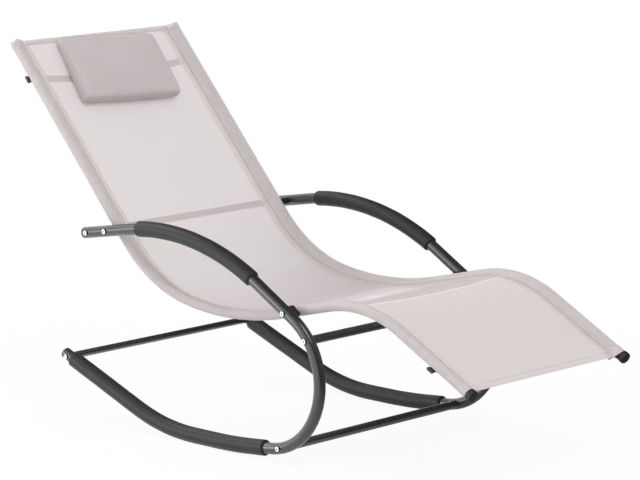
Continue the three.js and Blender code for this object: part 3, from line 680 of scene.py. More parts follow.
def turned_rings(profile, origin, axis, around=32, six_sided=()):
    """Rings of a turned piece. Profile rows are (radius, distance along the axis)."""
    spin = Vector((0, 0, 1)).rotation_difference(Vector(axis).normalized()).to_matrix()
    angle = round_angles(around, 0.5)
    flat_part = np.cos((angle + math.pi / 6) % (math.pi / 3) - math.pi / 6)
    rings = []
    for k, (radius, along) in enumerate(profile):
        reach = radius / flat_part if k in six_sided else np.full(around, radius)
        ring = np.column_stack([
            reach * np.cos(angle),
            reach * np.sin(angle),
            np.full(around, along),
        ])
        rings.append(ring @ np.array(spin).T + np.array(origin))
    return np.array(rings)


def rounded(radius, start, end, corner, steps=4):
    """Profile rows from (radius, start) round a corner to the flat face at end."""
    turns = np.linspace(0, math.pi / 2, steps)
    flat = radius - corner
    return [(radius, start)] + [
        (flat + corner * math.cos(a), end - corner + corner * math.sin(a)) for a in turns
    ]


def along_tube(row):
    return np.array([math.cos(row[2]), 0, math.sin(row[2])])


def off_tube(row):
    return np.array([-math.sin(row[2]), 0, math.cos(row[2])])


def beside(row, plane):
    return np.array([row[0], plane, row[1]])


def beside_off(row, plane, off):
    return beside(row, plane) + off_tube(row) * off


# %% [markdown]
# The steel tubes all follow one rule: a round section swept along a bent line. That rule
# is a small geometry node tree, and each hoop, rail and bar is one run of it with its own
# line and radius.

# %% Tree: bent tube
def dressed(tree, geometry, finish):
    """Makes every copy real and gives it its finish."""
    real = wire(tree, "GeometryNodeRealizeInstances", {0: geometry}).outputs[0]
    return wire(tree, "GeometryNodeSetMaterial", {"Geometry": real, "Material": finish}).outputs[0]


tube_tree, given, put = new_tree(
    "bent_tube",
    "Geometry",
    {"Line": "Geometry", "Tube radius": 0.01, "Sides": 32, "Finish": "Material"},
    {"Tube": "Geometry"},
)
line = wire(tube_tree, "GeometryNodeMeshToCurve", {"Mesh": given["Line"]}).outputs[0]
section = wire(tube_tree, "GeometryNodeCurvePrimitiveCircle", {
    "Resolution": given["Sides"],
    "Radius": given["Tube radius"],
}).outputs[0]
swept = wire(tube_tree, "GeometryNodeCurveToMesh", {
    "Curve": line,
    "Profile Curve": section,
    "Fill Caps": True,
}).outputs[0]
fill(tube_tree, put["Tube"], dressed(tube_tree, swept, given["Finish"]))


def line_mesh(points, facing=None):
    """A chain of edges. Facing gives each point a direction for what is set on it."""
    mesh = bpy.data.meshes.new("line")
    edges = [(i, i + 1) for i in range(len(points) - 1)]
    mesh.from_pydata([tuple(map(float, p)) for p in points], edges, [])
    if facing is not None:
        mesh.attributes.new("facing", "FLOAT_VECTOR", "POINT")
        mesh.attributes["facing"].data.foreach_set("vector", np.ravel(facing).astype(np.float32))
    return mesh


def grow(tree, start, **values):
    """Runs a tree on a start mesh and returns the result as a plain mesh."""
    seed = bpy.data.objects.new("seed", start)
    bpy.context.scene.collection.objects.link(seed)
    run = seed.modifiers.new("grow", "NODES")
    run.node_group = tree
    for socket in tree.interface.items_tree:
        label = socket.name.replace(" ", "_")
        if socket.in_out == "INPUT" and label in values:
            run[socket.identifier] = values[label]
    looked_up = bpy.context.evaluated_depsgraph_get()
    grown = bpy.data.meshes.new_from_object(
        seed.evaluated_get(looked_up),
        preserve_all_data_layers=True,
        depsgraph=looked_up,
    )
    bpy.data.objects.remove(seed)
    return grown


def bent_tube(points, radius, sides_round=32):
    shape = {"Tube_radius": radius, "Sides": sides_round}
    return grow(tube_tree, line_mesh(points), Finish=paint, **shape)


# %% Hoops and rails
tubes = {
    "hoop": (hoop_path, hoop_plane, hoop_radius, 40),
    "rail": (rail_path, rail_plane, rail_radius, 32),
}
for side, sign in sides:
    for name, (path, plane, radius, sides_round) in tubes.items():
        points = [beside(row, sign * plane) for row in path]
        tube_mesh = bent_tube(points, radius, sides_round)
        tube = keep(tube_mesh, f"steel_{name}_{side}", paint)
        stand_in(tube, "frame_paint", f"{name}_{side}")
        print(side, name, "faces", len(tube.data.polygons))

# %% [markdown]
# The four crossbars butt against the hoops, so their ends are cut to the hoop's round, as
# a fitter cuts a fish mouth. Each end ring is pulled back to the hoop's surface.

# %% Crossbars
thin_bar = 8 * mm
thick_bar = 9.5 * mm
bar_from_hoop_end = 14 * mm
knee_from_bend = 61 * mm
toe_from_bend = 34 * mm
crossbars = {
    "armrest": (hoop_run - bar_from_hoop_end, thin_bar),
    "knee": (bend_end - knee_from_bend, thick_bar),
    "toe": (bend_start + toe_from_bend, thick_bar),
    "heel": (bar_from_hoop_end, thin_bar),
}
crossbar_places = {name: on_path(hoop_path, run) for name, (run, _) in crossbars.items()}
mouth_depth = 16 * mm


def fish_mouth(mesh, row):
    """Cuts the ends of a bar between the hoops to the round of each hoop."""
    across = off_tube(row)
    for v in mesh.vertices:
        off = (v.co.x - row[0]) * across[0] + (v.co.z - row[1]) * across[2]
        reach = math.sqrt(max((hoop_radius + seat_gap) ** 2 - off * off, 0))
        if abs(v.co.y) > hoop_plane - mouth_depth + 1 * mm:
            v.co.y = math.copysign(hoop_plane - reach, v.co.y)


for name, row in crossbar_places.items():
    inner = hoop_plane - mouth_depth
    stops = [-hoop_plane, -inner, 0, inner, hoop_plane]
    bar_mesh = bent_tube([beside(row, y) for y in stops], crossbars[name][1])
    fish_mouth(bar_mesh, row)
    bar = keep(bar_mesh, f"steel_crossbar_{name}", paint)
    stand_in(bar, "frame_paint", f"{name}_crossbar")
print("crossbars", list(crossbars))

# %% [markdown]
# The two spreader bars hold the rails apart behind the cloth. They bow away from it, so
# that nobody sits on them. Each is a tube pressed to a flat oval, which is a round section
# whose halves are set apart. Their end caps are turned and then set apart in the same way.

# %% Spreader bars
spreader_radius = 3 * mm
spreader_flat = 11 * mm
spreader_past = 8 * mm
spreader_drop = 15.5 * mm
spreader_end = 26
spreader_bend = 60
spreader_kink = 12
spreader_places = {
    "head": on_path(rail_path, 90 * mm),
    "foot": on_path(rail_path, rail_run - 104 * mm),
}


def spreader_line():
    """The bar's bowed middle line, with x across the chair and z off the rails."""
    kink = math.radians(spreader_kink)
    start = rail_plane + spreader_past
    bow = (start - (spreader_end + spreader_bend * math.sin(kink)) * mm) / math.sin(kink)
    ends = [straight(spreader_end), bend(spreader_bend, spreader_kink)]
    return lay_path(-start, 0.0, 0.0, [*ends, (bow * 2 * kink, -2 * kink), *ends[::-1]])


def oval_rings(line, middle, along, back):
    angle = round_angles(32, 0.5)
    wide = spreader_radius * np.sin(angle) + np.sign(np.sin(angle)) * spreader_flat / 2
    across = np.array([0, 1, 0])
    rings = []
    for x, z, heading, _ in line:
        thick = back * math.cos(heading) - across * math.sin(heading)
        ring = np.outer(wide, along) + np.outer(spreader_radius * np.cos(angle), thick)
        rings.append(ring + middle + across * x + back * z)
    return rings


def set_apart(rings, origin, along):
    side = np.sign(np.round((rings - origin) @ along, 6))
    return rings + side[..., None] * along * spreader_flat / 2


cap_profile = [(0, -3 * mm), (1.2 * mm, -3 * mm), (1.2 * mm, seat_gap)]
cap_profile += rounded(4 * mm, seat_gap, 2 * mm, 0.9 * mm) + [(0, 2 * mm)]
for name, row in spreader_places.items():
    along, back = along_tube(row), -off_tube(row)
    middle = beside(row, 0) + back * spreader_drop
    bar_mesh = joined_rings(oval_rings(spreader_line(), middle, along, back))
    bar = keep(bar_mesh, f"steel_spreader_{name}", paint)
    stand_in(bar, "frame_paint", f"{name}_spreader_bar")
    for side, sign in sides:
        origin = middle + np.array([0, sign * (rail_plane + spreader_past), 0])
        rings = turned_rings(cap_profile, origin, (0, sign, 0))
        cap_mesh = joined_rings(set_apart(rings, origin, along))
        cap = keep(cap_mesh, f"spreader_end_{name}_{side}", plastic)
        stand_in(cap, "black_plastic", f"{name}_spreader_cap_{side}")
print("spreader bars at", [row.round(3).tolist() for row in spreader_places.values()])

# %% [markdown]
# Foam sleeves soften the armrests and keep the rockers quiet on the floor. A real one is a
# soft tube pushed on by hand, so its skin is a little uneven, its ends are rounded, and
# its underside is pressed flat where the chair stands.

# %% Foam sleeves
sleeve_round = 4.2 * mm
sleeve_bore = hoop_radius + 0.15 * mm
unevenness = 0.12 * mm
sleeve_sides = 40


def foam_sleeve(start, end, plane, seed_turn):
    corner = np.linspace(0, math.pi / 2, 6)[:-1]
    in_by = sleeve_round * (1 - np.cos(corner))
    down_by = sleeve_round * (1 - np.sin(corner))
    inner = cut_path(hoop_path, start + sleeve_round, end - sleeve_round)
    runs = np.concatenate([start + in_by, inner[:, 3], end - in_by[::-1]])
    drops = np.concatenate([down_by, np.zeros(len(inner)), down_by[::-1]])
    outer_path = np.array([on_path(hoop_path, run) for run in runs])
    rings = side_rings(outer_path, plane, sleeve_radius - drops, sleeve_sides)
    centre = np.array([beside(row, plane) for row in outer_path])[:, None, :]
    angle = round_angles(sleeve_sides)
    waves = np.sin(runs[:, None] * 91 + angle * 2 + seed_turn)
    waves += np.sin(runs[:, None] * 47 - angle * 3 + 2 * seed_turn)
    away = rings - centre
    rings = centre + away * (1 + unevenness * waves[..., None] / sleeve_radius / 2)
    rings[..., 2] = np.maximum(rings[..., 2], 0)
    bore = side_rings(outer_path[::-1], plane, sleeve_bore, sleeve_sides)
    return joined_rings(np.concatenate([rings, bore]), closed=True)


sleeve_from_rear_bolt = 99 * mm
sleeve_from_front_bolt = 117 * mm
sleeve_from_heel = 26 * mm
sleeve_from_bend = 13 * mm
sleeve_top = hoop_run - rear_bolt_from_tail - sleeve_from_rear_bolt
sleeve_runs = {
    "armrest": (front_on_hoop + sleeve_from_front_bolt, sleeve_top),
    "rocker": (sleeve_from_heel, bend_start - sleeve_from_bend),
}
for name, (start, end) in sleeve_runs.items():
    for side, sign in sides:
        sleeve_mesh = foam_sleeve(start, end, sign * hoop_plane, sign + len(name))
        sleeve = keep(sleeve_mesh, f"foam_{name}_{side}", foam, 60)
        stand_in(sleeve, "foam_sleeve", f"{name}_sleeve_{side}")
    print(name, "sleeve", round(end - start, 3), "m long")

# %% [markdown]
# Moulded plugs close every tube end. They are turned shapes: a stem in the bore, a flange
# on the cut edge and a domed or rounded face.

# %% Plugs and caps
hoop_stem = (10.4 * mm, 6.5 * mm)
rail_stem = (9.2 * mm, 16 * mm)
stem_bevel = 0.5 * mm
dome_foot = 1.5 * mm
dome_rise = 2 * mm
cap_radius = 13 * mm
cap_length = 13 * mm
quarter = np.linspace(0, math.pi / 2, 8)

dome = [(hoop_radius, seat_gap)]
dome += [(hoop_radius * math.cos(a), dome_foot + dome_rise * math.sin(a)) for a in quarter]
head_face = rounded(rail_radius, seat_gap, 2 * mm, 0.9 * mm) + [(0, 2 * mm)]
foot_face = [(12.4 * mm, seat_gap), (cap_radius, 0.9 * mm)]
foot_face += rounded(cap_radius, 1 * mm, cap_length, 4 * mm, 7)[1:] + [(0, cap_length)]
plugs = {
    "arm_plug": ("armrest_plug", hoop_stem, dome, hoop_path[-1], hoop_plane, 1),
    "heel_plug": ("rocker_plug", hoop_stem, dome, hoop_path[0], hoop_plane, -1),
    "head_plug": ("rail_head_plug", rail_stem, head_face, rail_path[0], rail_plane, -1),
    "foot_cap": ("rail_foot_cap", rail_stem, foot_face, rail_path[-1], rail_plane, 1),
}
for side, sign in sides:
    for name, (node, (bore, stem), face, row, plane, outwards) in plugs.items():
        profile = [(0, -stem), (bore - stem_bevel, -stem), (bore, -stem + stem_bevel)]
        profile += [(bore, seat_gap), *face]
        rings = turned_rings(profile, beside(row, sign * plane), along_tube(row) * outwards)
        plug = keep(joined_rings(rings), f"{name}_{side}", plastic)
        stand_in(plug, "black_plastic", f"{node}_{side}")
print("plugs and caps", len(plugs) * 2)

# %% [markdown]
# A black block with a saddle at each end fills the space between hoop and rail at every
# bolt. Its outline is a rounded oblong. Each point of its ends is moved to the round of
# the tube that it sits on.

# %% Saddle spacers
pocket_outside = 12.2 * mm
saddle_reach = 3 * mm
block_size = (14 * mm, 7 * mm, 3 * mm)


def oblong(half_long, half_high, corner, steps=5):
    points = []
    for i, (along, up) in enumerate(((1, 1), (-1, 1), (-1, -1), (1, -1))):
        centre = (along * (half_long - corner), up * (half_high - corner))
        for a in np.linspace(0, math.pi / 2, steps) + i * math.pi / 2:
            points.append((centre[0] + corner * math.cos(a), centre[1] + corner * math.sin(a)))
    return np.array(points)


def saddle_spacer(hoop_row, rail_row, sign):
    """Rings from the middle of one end, out, across to the other end and in again."""
    inner = rail_plane + pocket_outside - saddle_reach
    outer = hoop_plane - hoop_radius + saddle_reach
    outline = oblong(*block_size)
    along, up = along_tube(hoop_row), off_tube(hoop_row)
    rings = []
    outwards = [0.02, 0.3, 0.6, 0.9, 1.0]
    shares = [(size, 0) for size in outwards] + [(1.0, 0.5)]
    shares += [(size, 1.0) for size in outwards[::-1]]
    for size, across in shares:
        ring = []
        for a, b in outline * size:
            spot = beside(hoop_row, 0) + along * a + up * b
            off_rail = (spot - beside(rail_row, 0)) @ off_tube(rail_row)
            hoop_reach = (hoop_radius + seat_gap) ** 2 - b * b
            rail_reach = (pocket_outside + seat_gap) ** 2 - off_rail ** 2
            far = min(outer, hoop_plane - math.sqrt(max(hoop_reach, 0)))
            low = max(inner, rail_plane + math.sqrt(max(rail_reach, 0)))
            spot[1] = sign * (low + (far - low) * across)
            ring.append(spot)
        rings.append(ring)
    return joined_rings(rings)


rail_bolt_places = {
    "rear": (rear_bolt, on_path(rail_path, rear_bolt_on_rail)),
    "front": (front_bolt, on_path(rail_path, front_on_rail)),
}
for place, (hoop_row, rail_row) in rail_bolt_places.items():
    for side, sign in sides:
        block_mesh = saddle_spacer(hoop_row, rail_row, sign)
        block = keep(block_mesh, f"saddle_{place}_{side}", plastic)
        stand_in(block, "black_plastic", f"rail_spacer_{place}_{side}")
print("saddle spacers", len(rail_bolt_places) * 2)

# %% [markdown]
# Bolts, screws and rivets repeat, so one of each kind is turned on its own, and a node
# tree sets it on every place with the right direction. The sockets stand at random turns,
# as a fitter leaves them, from a fixed seed.

# %% Tree: set of fasteners
fastener_tree, given, put = new_tree(
    "set_of_fasteners",
    "Geometry",
    {"Places": "Geometry", "Fastener": "Object", "Seed": 3, "Finish": "Material"},
    {"Fasteners": "Geometry"},
)
most_twist = 1.05


def facing_of(tree):
    """The direction that line_mesh wrote on each point."""
    return wire(tree, "GeometryNodeInputNamedAttribute", {
        "Name": "facing",
    }, data_type="FLOAT_VECTOR").outputs[0]


spots = wire(fastener_tree, "GeometryNodeMeshToPoints", {"Mesh": given["Places"]}).outputs[0]
pattern = wire(fastener_tree, "GeometryNodeObjectInfo", {
    "Object": given["Fastener"],
    "As Instance": True,
}).outputs["Geometry"]
upright = wire(fastener_tree, "FunctionNodeAlignRotationToVector", {
    "Vector": facing_of(fastener_tree),
}, axis="Z").outputs[0]
by_chance = wire(fastener_tree, "FunctionNodeRandomValue", {
    "Seed": given["Seed"],
}, data_type="FLOAT").outputs[1]
twist = wire(fastener_tree, "ShaderNodeCombineXYZ", {
    2: maths(fastener_tree, "MULTIPLY", by_chance, most_twist),
}).outputs[0]
turned_on = wire(fastener_tree, "FunctionNodeRotateRotation", {
    "Rotation": upright,
    "Rotate By": twist,
}, rotation_space="LOCAL").outputs[0]
placed = wire(fastener_tree, "GeometryNodeInstanceOnPoints", {
    "Points": spots,
    "Instance": pattern,
    "Rotation": turned_on,
}).outputs[0]
fill(fastener_tree, put["Fasteners"], dressed(fastener_tree, placed, given["Finish"]))


# %% Sets of fasteners
# Bolts sit in the hoops and screws under the spreader bars. A rivet holds each threaded
# insert, and its small dome shows on top of the crossbar.
up = (0, 0, 1)
at_origin = (0, 0, 0)


def mark_grime(mesh, low, high):
    """Writes 1 for painted shade on the points between two heights, the bottom of a socket among
    them.
    """
    mesh.attributes.new("painted_shade", "FLOAT", "POINT")
    heights = np.array([v.co.z for v in mesh.vertices])
    in_shade = ((heights > low - 1e-6) & (heights < high)).astype(np.float32)
    mesh.attributes["painted_shade"].data.foreach_set("value", in_shade)


def button_bolt(shank, length, head, height, socket, depth):
    """A button head bolt with a six-sided socket, its head standing on z = 0."""
    profile = [(0, -length), (shank, -length), (shank, 0), (head, 0)]
    profile += [(head, height * 0.3), (head * 0.95, height * 0.62), (head * 0.86, height * 0.88)]
    profile += [(head * 0.74, height), (socket * 1.16, height)]
    profile += [(socket, height - depth * 0.1), (socket, height - depth), (0, height - depth)]
    six = (len(profile) - 3, len(profile) - 2)
    mesh = joined_rings(turned_rings(profile, at_origin, up, 36, six))
    mark_grime(mesh, 0.0, height * 0.7)
    return mesh


def dome_rivet(radius, stem, foot, rise):
    turns = np.linspace(0, math.pi / 2, 5)
    profile = [(0, -stem), (radius, -stem)]
    profile += [(radius * math.cos(a), foot + rise * math.sin(a)) for a in turns]
    mesh = joined_rings(turned_rings(profile, at_origin, up, 20))
    mark_grime(mesh, -1 * mm, -0.5 * mm)
    return mesh


def fastener_set(name, mesh, seed, places, place_of, facing_at, node):
    """One fastener a side at each named place."""
    pairs = [(n, side, sign) for n in places for side, sign in sides]
    points = [place_of(n, sign) for n, _, sign in pairs]
    facing = [facing_at(n, sign) for n, _, sign in pairs]
    pattern = keep(mesh, "pattern", zinc)
    line = line_mesh(points, facing)
    grown = grow(fastener_tree, line, Fastener=pattern, Seed=seed, Finish=zinc)
    bpy.data.objects.remove(pattern)
    made = keep(grown, name, zinc)
    stand_in(made, "plated_steel", *[node.format(n, side) for n, side, _ in pairs])
    print(name, len(pairs), "pieces,", len(made.data.polygons), "faces")


bolt_face = hoop_plane + hoop_radius + seat_gap
screw_seat = spreader_drop + spreader_radius + seat_gap
rivet_inset = hoop_plane - hoop_radius - 17 * mm
bolt_head = (6 * mm, 3.2 * mm, 2 * mm, 2 * mm)
fastener_set(
    "crossbar_bolts",
    button_bolt(3 * mm, 48 * mm, *bolt_head),
    3,
    crossbar_places,
    lambda n, sign: beside(crossbar_places[n], sign * bolt_face),
    lambda n, sign: (0, sign, 0),
    "{}_crossbar_bolt_{}",
)
fastener_set(
    "rail_bolts",
    button_bolt(3 * mm, 56.5 * mm, *bolt_head),
    8,
    rail_bolt_places,
    lambda n, sign: beside(rail_bolt_places[n][0], sign * bolt_face),
    lambda n, sign: (0, sign, 0),
    "rail_bolt_{}_{}",
)
fastener_set(
    "spreader_screws",
    button_bolt(2.5 * mm, 15 * mm, 4.75 * mm, 2.6 * mm, 1.6 * mm, 1.4 * mm),
    5,
    spreader_places,
    lambda n, sign: beside_off(spreader_places[n], sign * rail_plane, -screw_seat),
    lambda n, sign: -off_tube(spreader_places[n]),
    "{}_spreader_screw_{}",
)
fastener_set(
    "crossbar_rivets",
    dome_rivet(2 * mm, 3 * mm, 0.1 * mm, 0.75 * mm),
    2,
    crossbar_places,
    lambda n, sign: beside(crossbar_places[n], sign * rivet_inset) + [0, 0, crossbars[n][1]],
    lambda n, sign: up,
    "{}_crossbar_insert_{}",
)

# %% [markdown]
# The sling is one sheet of coated mesh. Along each side it wraps round the rail and is
# sewn to itself, which leaves a pocket for the tube and a double layer inside the seam.
# At the head and foot it is folded back into a hem. It is built as one open surface,
# section by section down the rails, and then gets its thickness.

# %% Section of the sling
cloth_thick = 0.12 * mm
wrap_radius = rail_radius + 0.35 * mm + cloth_thick / 2
seam_in = 25 * mm
seam_at = rail_plane - seam_in
flap = 15 * mm
flap_hang = 5 * mm
layer = 0.42 * mm
middle_steps = 40


def between(a, b, count):
    """Points from a up to b, without b."""
    return [np.array(a) + (np.array(b) - np.array(a)) * i / count for i in range(count)]


def half_section():
    """Seam, round the rail and back under it to the end of the flap, on the left side."""
    lean = math.acos(wrap_radius / (seam_in - 0.6 * mm))
    arc = [
        np.array((rail_plane + wrap_radius * math.cos(a), wrap_radius * math.sin(a)))
        for a in np.linspace(math.pi - lean, lean - math.pi, 22)
    ]
    upper = between((seam_at, layer), arc[0], 5)
    lower = between(arc[-1], (seam_at, -layer), 5)
    free_edge = (seam_at - flap, -layer - flap_hang)
    under = between((seam_at, -layer), free_edge, 4)
    return [*upper, *arc[:-1], *lower, *under, np.array(free_edge)]


def running_sum(points):
    """The distance along a line of points at each of them."""
    return np.concatenate([[0], np.cumsum(np.hypot(*np.diff(points, axis=0).T))])


left = np.array(half_section())
middle = np.linspace(-seam_at, seam_at, middle_steps + 1)[1:-1]
middle = np.column_stack([middle, np.full(middle_steps - 1, layer)])
section_points = np.vstack([left[::-1] * [-1, 1], middle, left])
section_runs = running_sum(section_points)
pocket_count = len(left)
tangent = np.gradient(section_points, axis=0)
tangent /= np.linalg.norm(tangent, axis=1)[:, None]
section_out = np.column_stack([-tangent[:, 1], tangent[:, 0]])
print("cloth width before it is sewn", round(section_runs[-1], 4))

# %% Rows of the sling, from hem to hem
# Between the seams the cloth bows off the line of the rails, by a share of the sling's
# bow that changes down its length. From the knee on, a second cloth is sewn behind.
head_edge = -5 * mm
foot_edge = rail_run - 2 * mm
head_hem = 14 * mm
foot_hem = 20 * mm
fold_lift = 0.8 * mm
row_step = 8 * mm
knee_seam = 1.284
sling_bow = 14 * mm
bow_shares = [
    (0, 0), (0.22, 0), (0.34, 0.25), (0.42, 1), (0.56, 0.7),
    (0.68, 0.15), (0.8, -0.55), (0.92, -0.1), (1, 0),
]


def bow_at(share):
    k = next((i for i, (at, _) in enumerate(bow_shares) if at >= share and i), 1)
    (start, low), (end, high) = bow_shares[k - 1], bow_shares[k]
    part = min(max((share - start) / (end - start), 0), 1)
    return sling_bow * (low + (high - low) * part * part * (3 - 2 * part))


def hem_rows(edge, hem, inwards):
    """The cloth's free edge under the hem, out to the fold and back in on top of it."""
    turns = [(hem, 0), (hem / 2, 0), (0.8 * mm, 0), (0, 0.5), (0.8 * mm, 1), (hem / 2, 1)]
    turns += [(hem + 0.5 * mm, 1), (hem + 3 * mm, 0)]
    return [(edge + inwards * away, fold_lift * share) for away, share in turns]


def sling_rows():
    """(distance along the rail, lift off the section, distance along the cloth)."""
    first, last = head_edge + head_hem + 6 * mm, foot_edge - foot_hem - 6 * mm
    count = round((last - first) / row_step)
    even = [first + (last - first) * i / count for i in range(count + 1)]
    even = [run for run in even if abs(run - knee_seam) > 2 * mm]
    even += [knee_seam, knee_seam + 0.5 * mm]
    rows = hem_rows(head_edge, head_hem, 1) + [(run, 0.0) for run in sorted(even)]
    rows = np.array(rows + hem_rows(foot_edge, foot_hem, -1)[::-1])
    return np.column_stack([rows, running_sum(rows)])


rail_lead = 20 * mm
first_row = rail_path[0]
lead = np.array([math.cos(first_row[2]), math.sin(first_row[2]), 0, 1]) * rail_lead
long_rail = np.vstack([first_row - lead, rail_path])


def cloth_point(run, across, off):
    """A point of the cloth from its place down the rail, across the chair and off the rails."""
    return beside_off(on_path(long_rail, run), across, off)


def cloth_bow(run, across):
    inside = max(0.0, 1 - (across / seam_at) ** 2)
    return bow_at((run - head_edge) / (foot_edge - head_edge)) * inside


def sling_mesh():
    """The cloth. The second one behind it ends at the right seam, and short of the left."""
    rows = sling_rows()
    wide = len(section_points)
    points, places, backed = [], [], []
    for run, lift, cloth_run in rows:
        for k in range(wide):
            across, off = section_points[k] + section_out[k] * lift
            if pocket_count <= k < wide - pocket_count:
                off += cloth_bow(run, across)
            points.append(tuple(cloth_point(run, across, off)))
            places.append((section_runs[k], cloth_run))
            margin = pocket_count + (0 if across < 0 else 1)
            backed.append(float(margin <= k < wide - margin and run > knee_seam))
    faces = []
    for j in range(len(rows) - 1):
        for a in range(j * wide, (j + 1) * wide - 1):
            faces.append((a, a + wide, a + wide + 1, a + 1))
    mesh = bpy.data.meshes.new("sling_cloth")
    mesh.from_pydata(points, [], faces)
    chart = mesh.uv_layers.new(name="UVMap")
    for loop in mesh.loops:
        chart.data[loop.index].uv = places[loop.vertex_index]
    mesh.attributes.new("backed", "FLOAT", "POINT").data.foreach_set("value", backed)
    return mesh, rows[-1, 2]


sling_cut, sling_length = sling_mesh()
sling = keep(sling_cut, "mesh_sling", mesh_cloth, 70)
shell = sling.modifiers.new("thickness", "SOLIDIFY")
shell.thickness = cloth_thick
shell.offset = 0
stand_in(sling, "sling_mesh", "sling")
print("sling flat size", round(section_runs[-1], 3), "x", round(sling_length, 3))

# %% [markdown]
# Stitches show how the sling is held. A tree walks along each seam at an even spacing and
# lays a short thread on the cloth, lengthwise along the seam. Long stitches that overlap
# make the bead where the two layers meet, pale on the side that the photo shows brightly,
# where the pale colour is a painted highlight of the fold. A row of darker ones inside it
# paints the shade of the stitch holes. A pale bead, also a painted highlight, marks the seam at the
# knee.

# %% Tree: row of stitches
stitch_tree, given, put = new_tree(
    "row_of_stitches",
    "Geometry",
    {
        "Seam": "Geometry",
        "Spacing": 0.0045,
        "Stitch length": 0.0034,
        "Thread width": 0.0008,
        "Finish": "Material",
    },
    {"Stitches": "Geometry"},
)
line = wire(stitch_tree, "GeometryNodeMeshToCurve", {"Mesh": given["Seam"]}).outputs[0]
stops = wire(stitch_tree, "GeometryNodeResampleCurve", {
    "Curve": line,
    "Length": given["Spacing"],
}, mode="LENGTH").outputs[0]
bead = wire(stitch_tree, "GeometryNodeMeshIcoSphere", {
    "Radius": 0.5,
    "Subdivisions": 1,
}).outputs["Mesh"]
laid = wire(stitch_tree, "FunctionNodeAxesToRotation", {
    "Primary Axis": facing_of(stitch_tree),
    "Secondary Axis": wire(stitch_tree, "GeometryNodeInputTangent").outputs[0],
}, primary_axis="Z", secondary_axis="X").outputs[0]
size = wire(stitch_tree, "ShaderNodeCombineXYZ", {
    0: given["Stitch length"],
    1: given["Thread width"],
    2: given["Thread width"],
}).outputs[0]
sewn = wire(stitch_tree, "GeometryNodeInstanceOnPoints", {
    "Points": stops,
    "Instance": bead,
    "Rotation": laid,
    "Scale": size,
}).outputs[0]
fill(stitch_tree, put["Stitches"], dressed(stitch_tree, sewn, given["Finish"]))


def stitches(lines, spacing, length, width, sewn_with):
    """One mesh of stitches from lines of (points, facing)."""
    sizes = {"Spacing": spacing, "Stitch_length": length, "Thread_width": width}
    return join_meshes([
        grow(stitch_tree, line_mesh(points, facing), Finish=sewn_with, **sizes)
        for points, facing in lines
    ])


# %% Seams of the sling
bead_size = (4.5 * mm, 6.4 * mm, 2.4 * mm)
stitch_size = (4.5 * mm, 3.4 * mm, 0.8 * mm)
bead_in = 26 * mm
inner_in = 29.5 * mm
head_row_in = 11.5 * mm
foot_row_in = 17 * mm


def seam_down(from_rail, lift, start, end):
    """The right and the left seam along the chair, lift above the plane of the rails."""
    runs = np.arange(start, end, row_step)
    seams = []
    for _, sign in sides:
        across = sign * (rail_plane - from_rail)
        points = [cloth_point(r, across, lift + cloth_bow(r, across)) for r in runs]
        seams.append((points, [off_tube(on_path(long_rail, r)) for r in runs]))
    return seams


def seam_across(run, lift):
    spots = np.linspace(-seam_at + 2 * mm, seam_at - 2 * mm, 60)
    points = [cloth_point(run, a, lift + cloth_bow(run, a)) for a in spots]
    return points, [off_tube(on_path(long_rail, run))] * len(spots)


surface = layer + cloth_thick / 2
seam_ends = (head_edge + 2 * mm, foot_edge - 2 * mm)
right_bead, left_bead = seam_down(bead_in, surface + 0.5 * mm, *seam_ends)
knee_bead = seam_across(knee_seam, surface + 0.3 * mm)
head_row = seam_across(head_edge + head_row_in, surface + fold_lift)
foot_row = seam_across(foot_edge - foot_row_in, surface + fold_lift)
inner_rows = seam_down(inner_in, surface, *seam_ends)
threads = {
    # The pale beads paint a highlight along the near seam and along the knee seam.
    "sling_pale_beads": ([right_bead, knee_bead], bead_size, thread),
    "sling_plain_bead": ([left_bead], bead_size, plain_thread),
    # These dark stitches paint the shade of the stitch holes.
    "sling_stitches": ([*inner_rows, head_row, foot_row], stitch_size, shaded_thread),
}
for name, (lines, sizes, finish) in threads.items():
    piece = keep(stitches(lines, *sizes, finish), name, finish)
    stand_in(piece, "sling_mesh")
    print(name, len(piece.data.polygons), "faces")

# %% [markdown]
# The headrest is a boxed pillow: a crowned face, a flat rear and a gusset between them,
# deeper along the bottom than along the top. Its shell is blown up by a short cloth
# simulation that is held along the two seams, so the panels between them swell as those of
# a filled cover do. The welts are laid on afterwards, because the remesh would lose them.

# %% Shell of the pillow
pillow_width = 296 * mm
pillow_height = 181 * mm
top_edge = 18 * mm
bottom_edge = 29 * mm
crown = 12 * mm
side_pull = 5 * mm
gusset_bulge = 2.5 * mm
skew = 15 * mm
lean = math.radians(3)
pillow_centre = 20 * mm + pillow_height / 2
off_middle = 7 * mm
corner_round = 0.07
strip_thick = 1.2 * mm
pillow_off = 0.6 * mm + 3 * seat_gap + 2 * strip_thick
back_row = on_path(long_rail, head_edge)
back_down, back_off = along_tube(back_row), off_tube(back_row)
back_origin = beside(back_row, 0)


def on_back(down, across, off):
    """A point in the frame of the backrest: down it, across it and off it."""
    return back_origin + back_down * down + np.array([0, across, 0]) + back_off * off


def pillow_point(u, v, off, bulge, shrink):
    """u runs across the pillow and v down it, each from -1 to 1."""
    pull = side_pull * (1 - v * v) * u
    half_width = pillow_width / 2 + bulge - shrink
    half_height = pillow_height / 2 + bulge - shrink
    across = u * math.sqrt(1 - corner_round * v * v) * half_width - pull - skew / 2 * v
    down = v * math.sqrt(1 - corner_round * u * u) * half_height
    return on_back(
        pillow_centre + down * math.cos(lean) + across * math.sin(lean),
        -off_middle + across * math.cos(lean) - down * math.sin(lean),
        pillow_off + off,
    )


def gusset_at(v):
    return top_edge + (bottom_edge - top_edge) * (v + 1) / 2


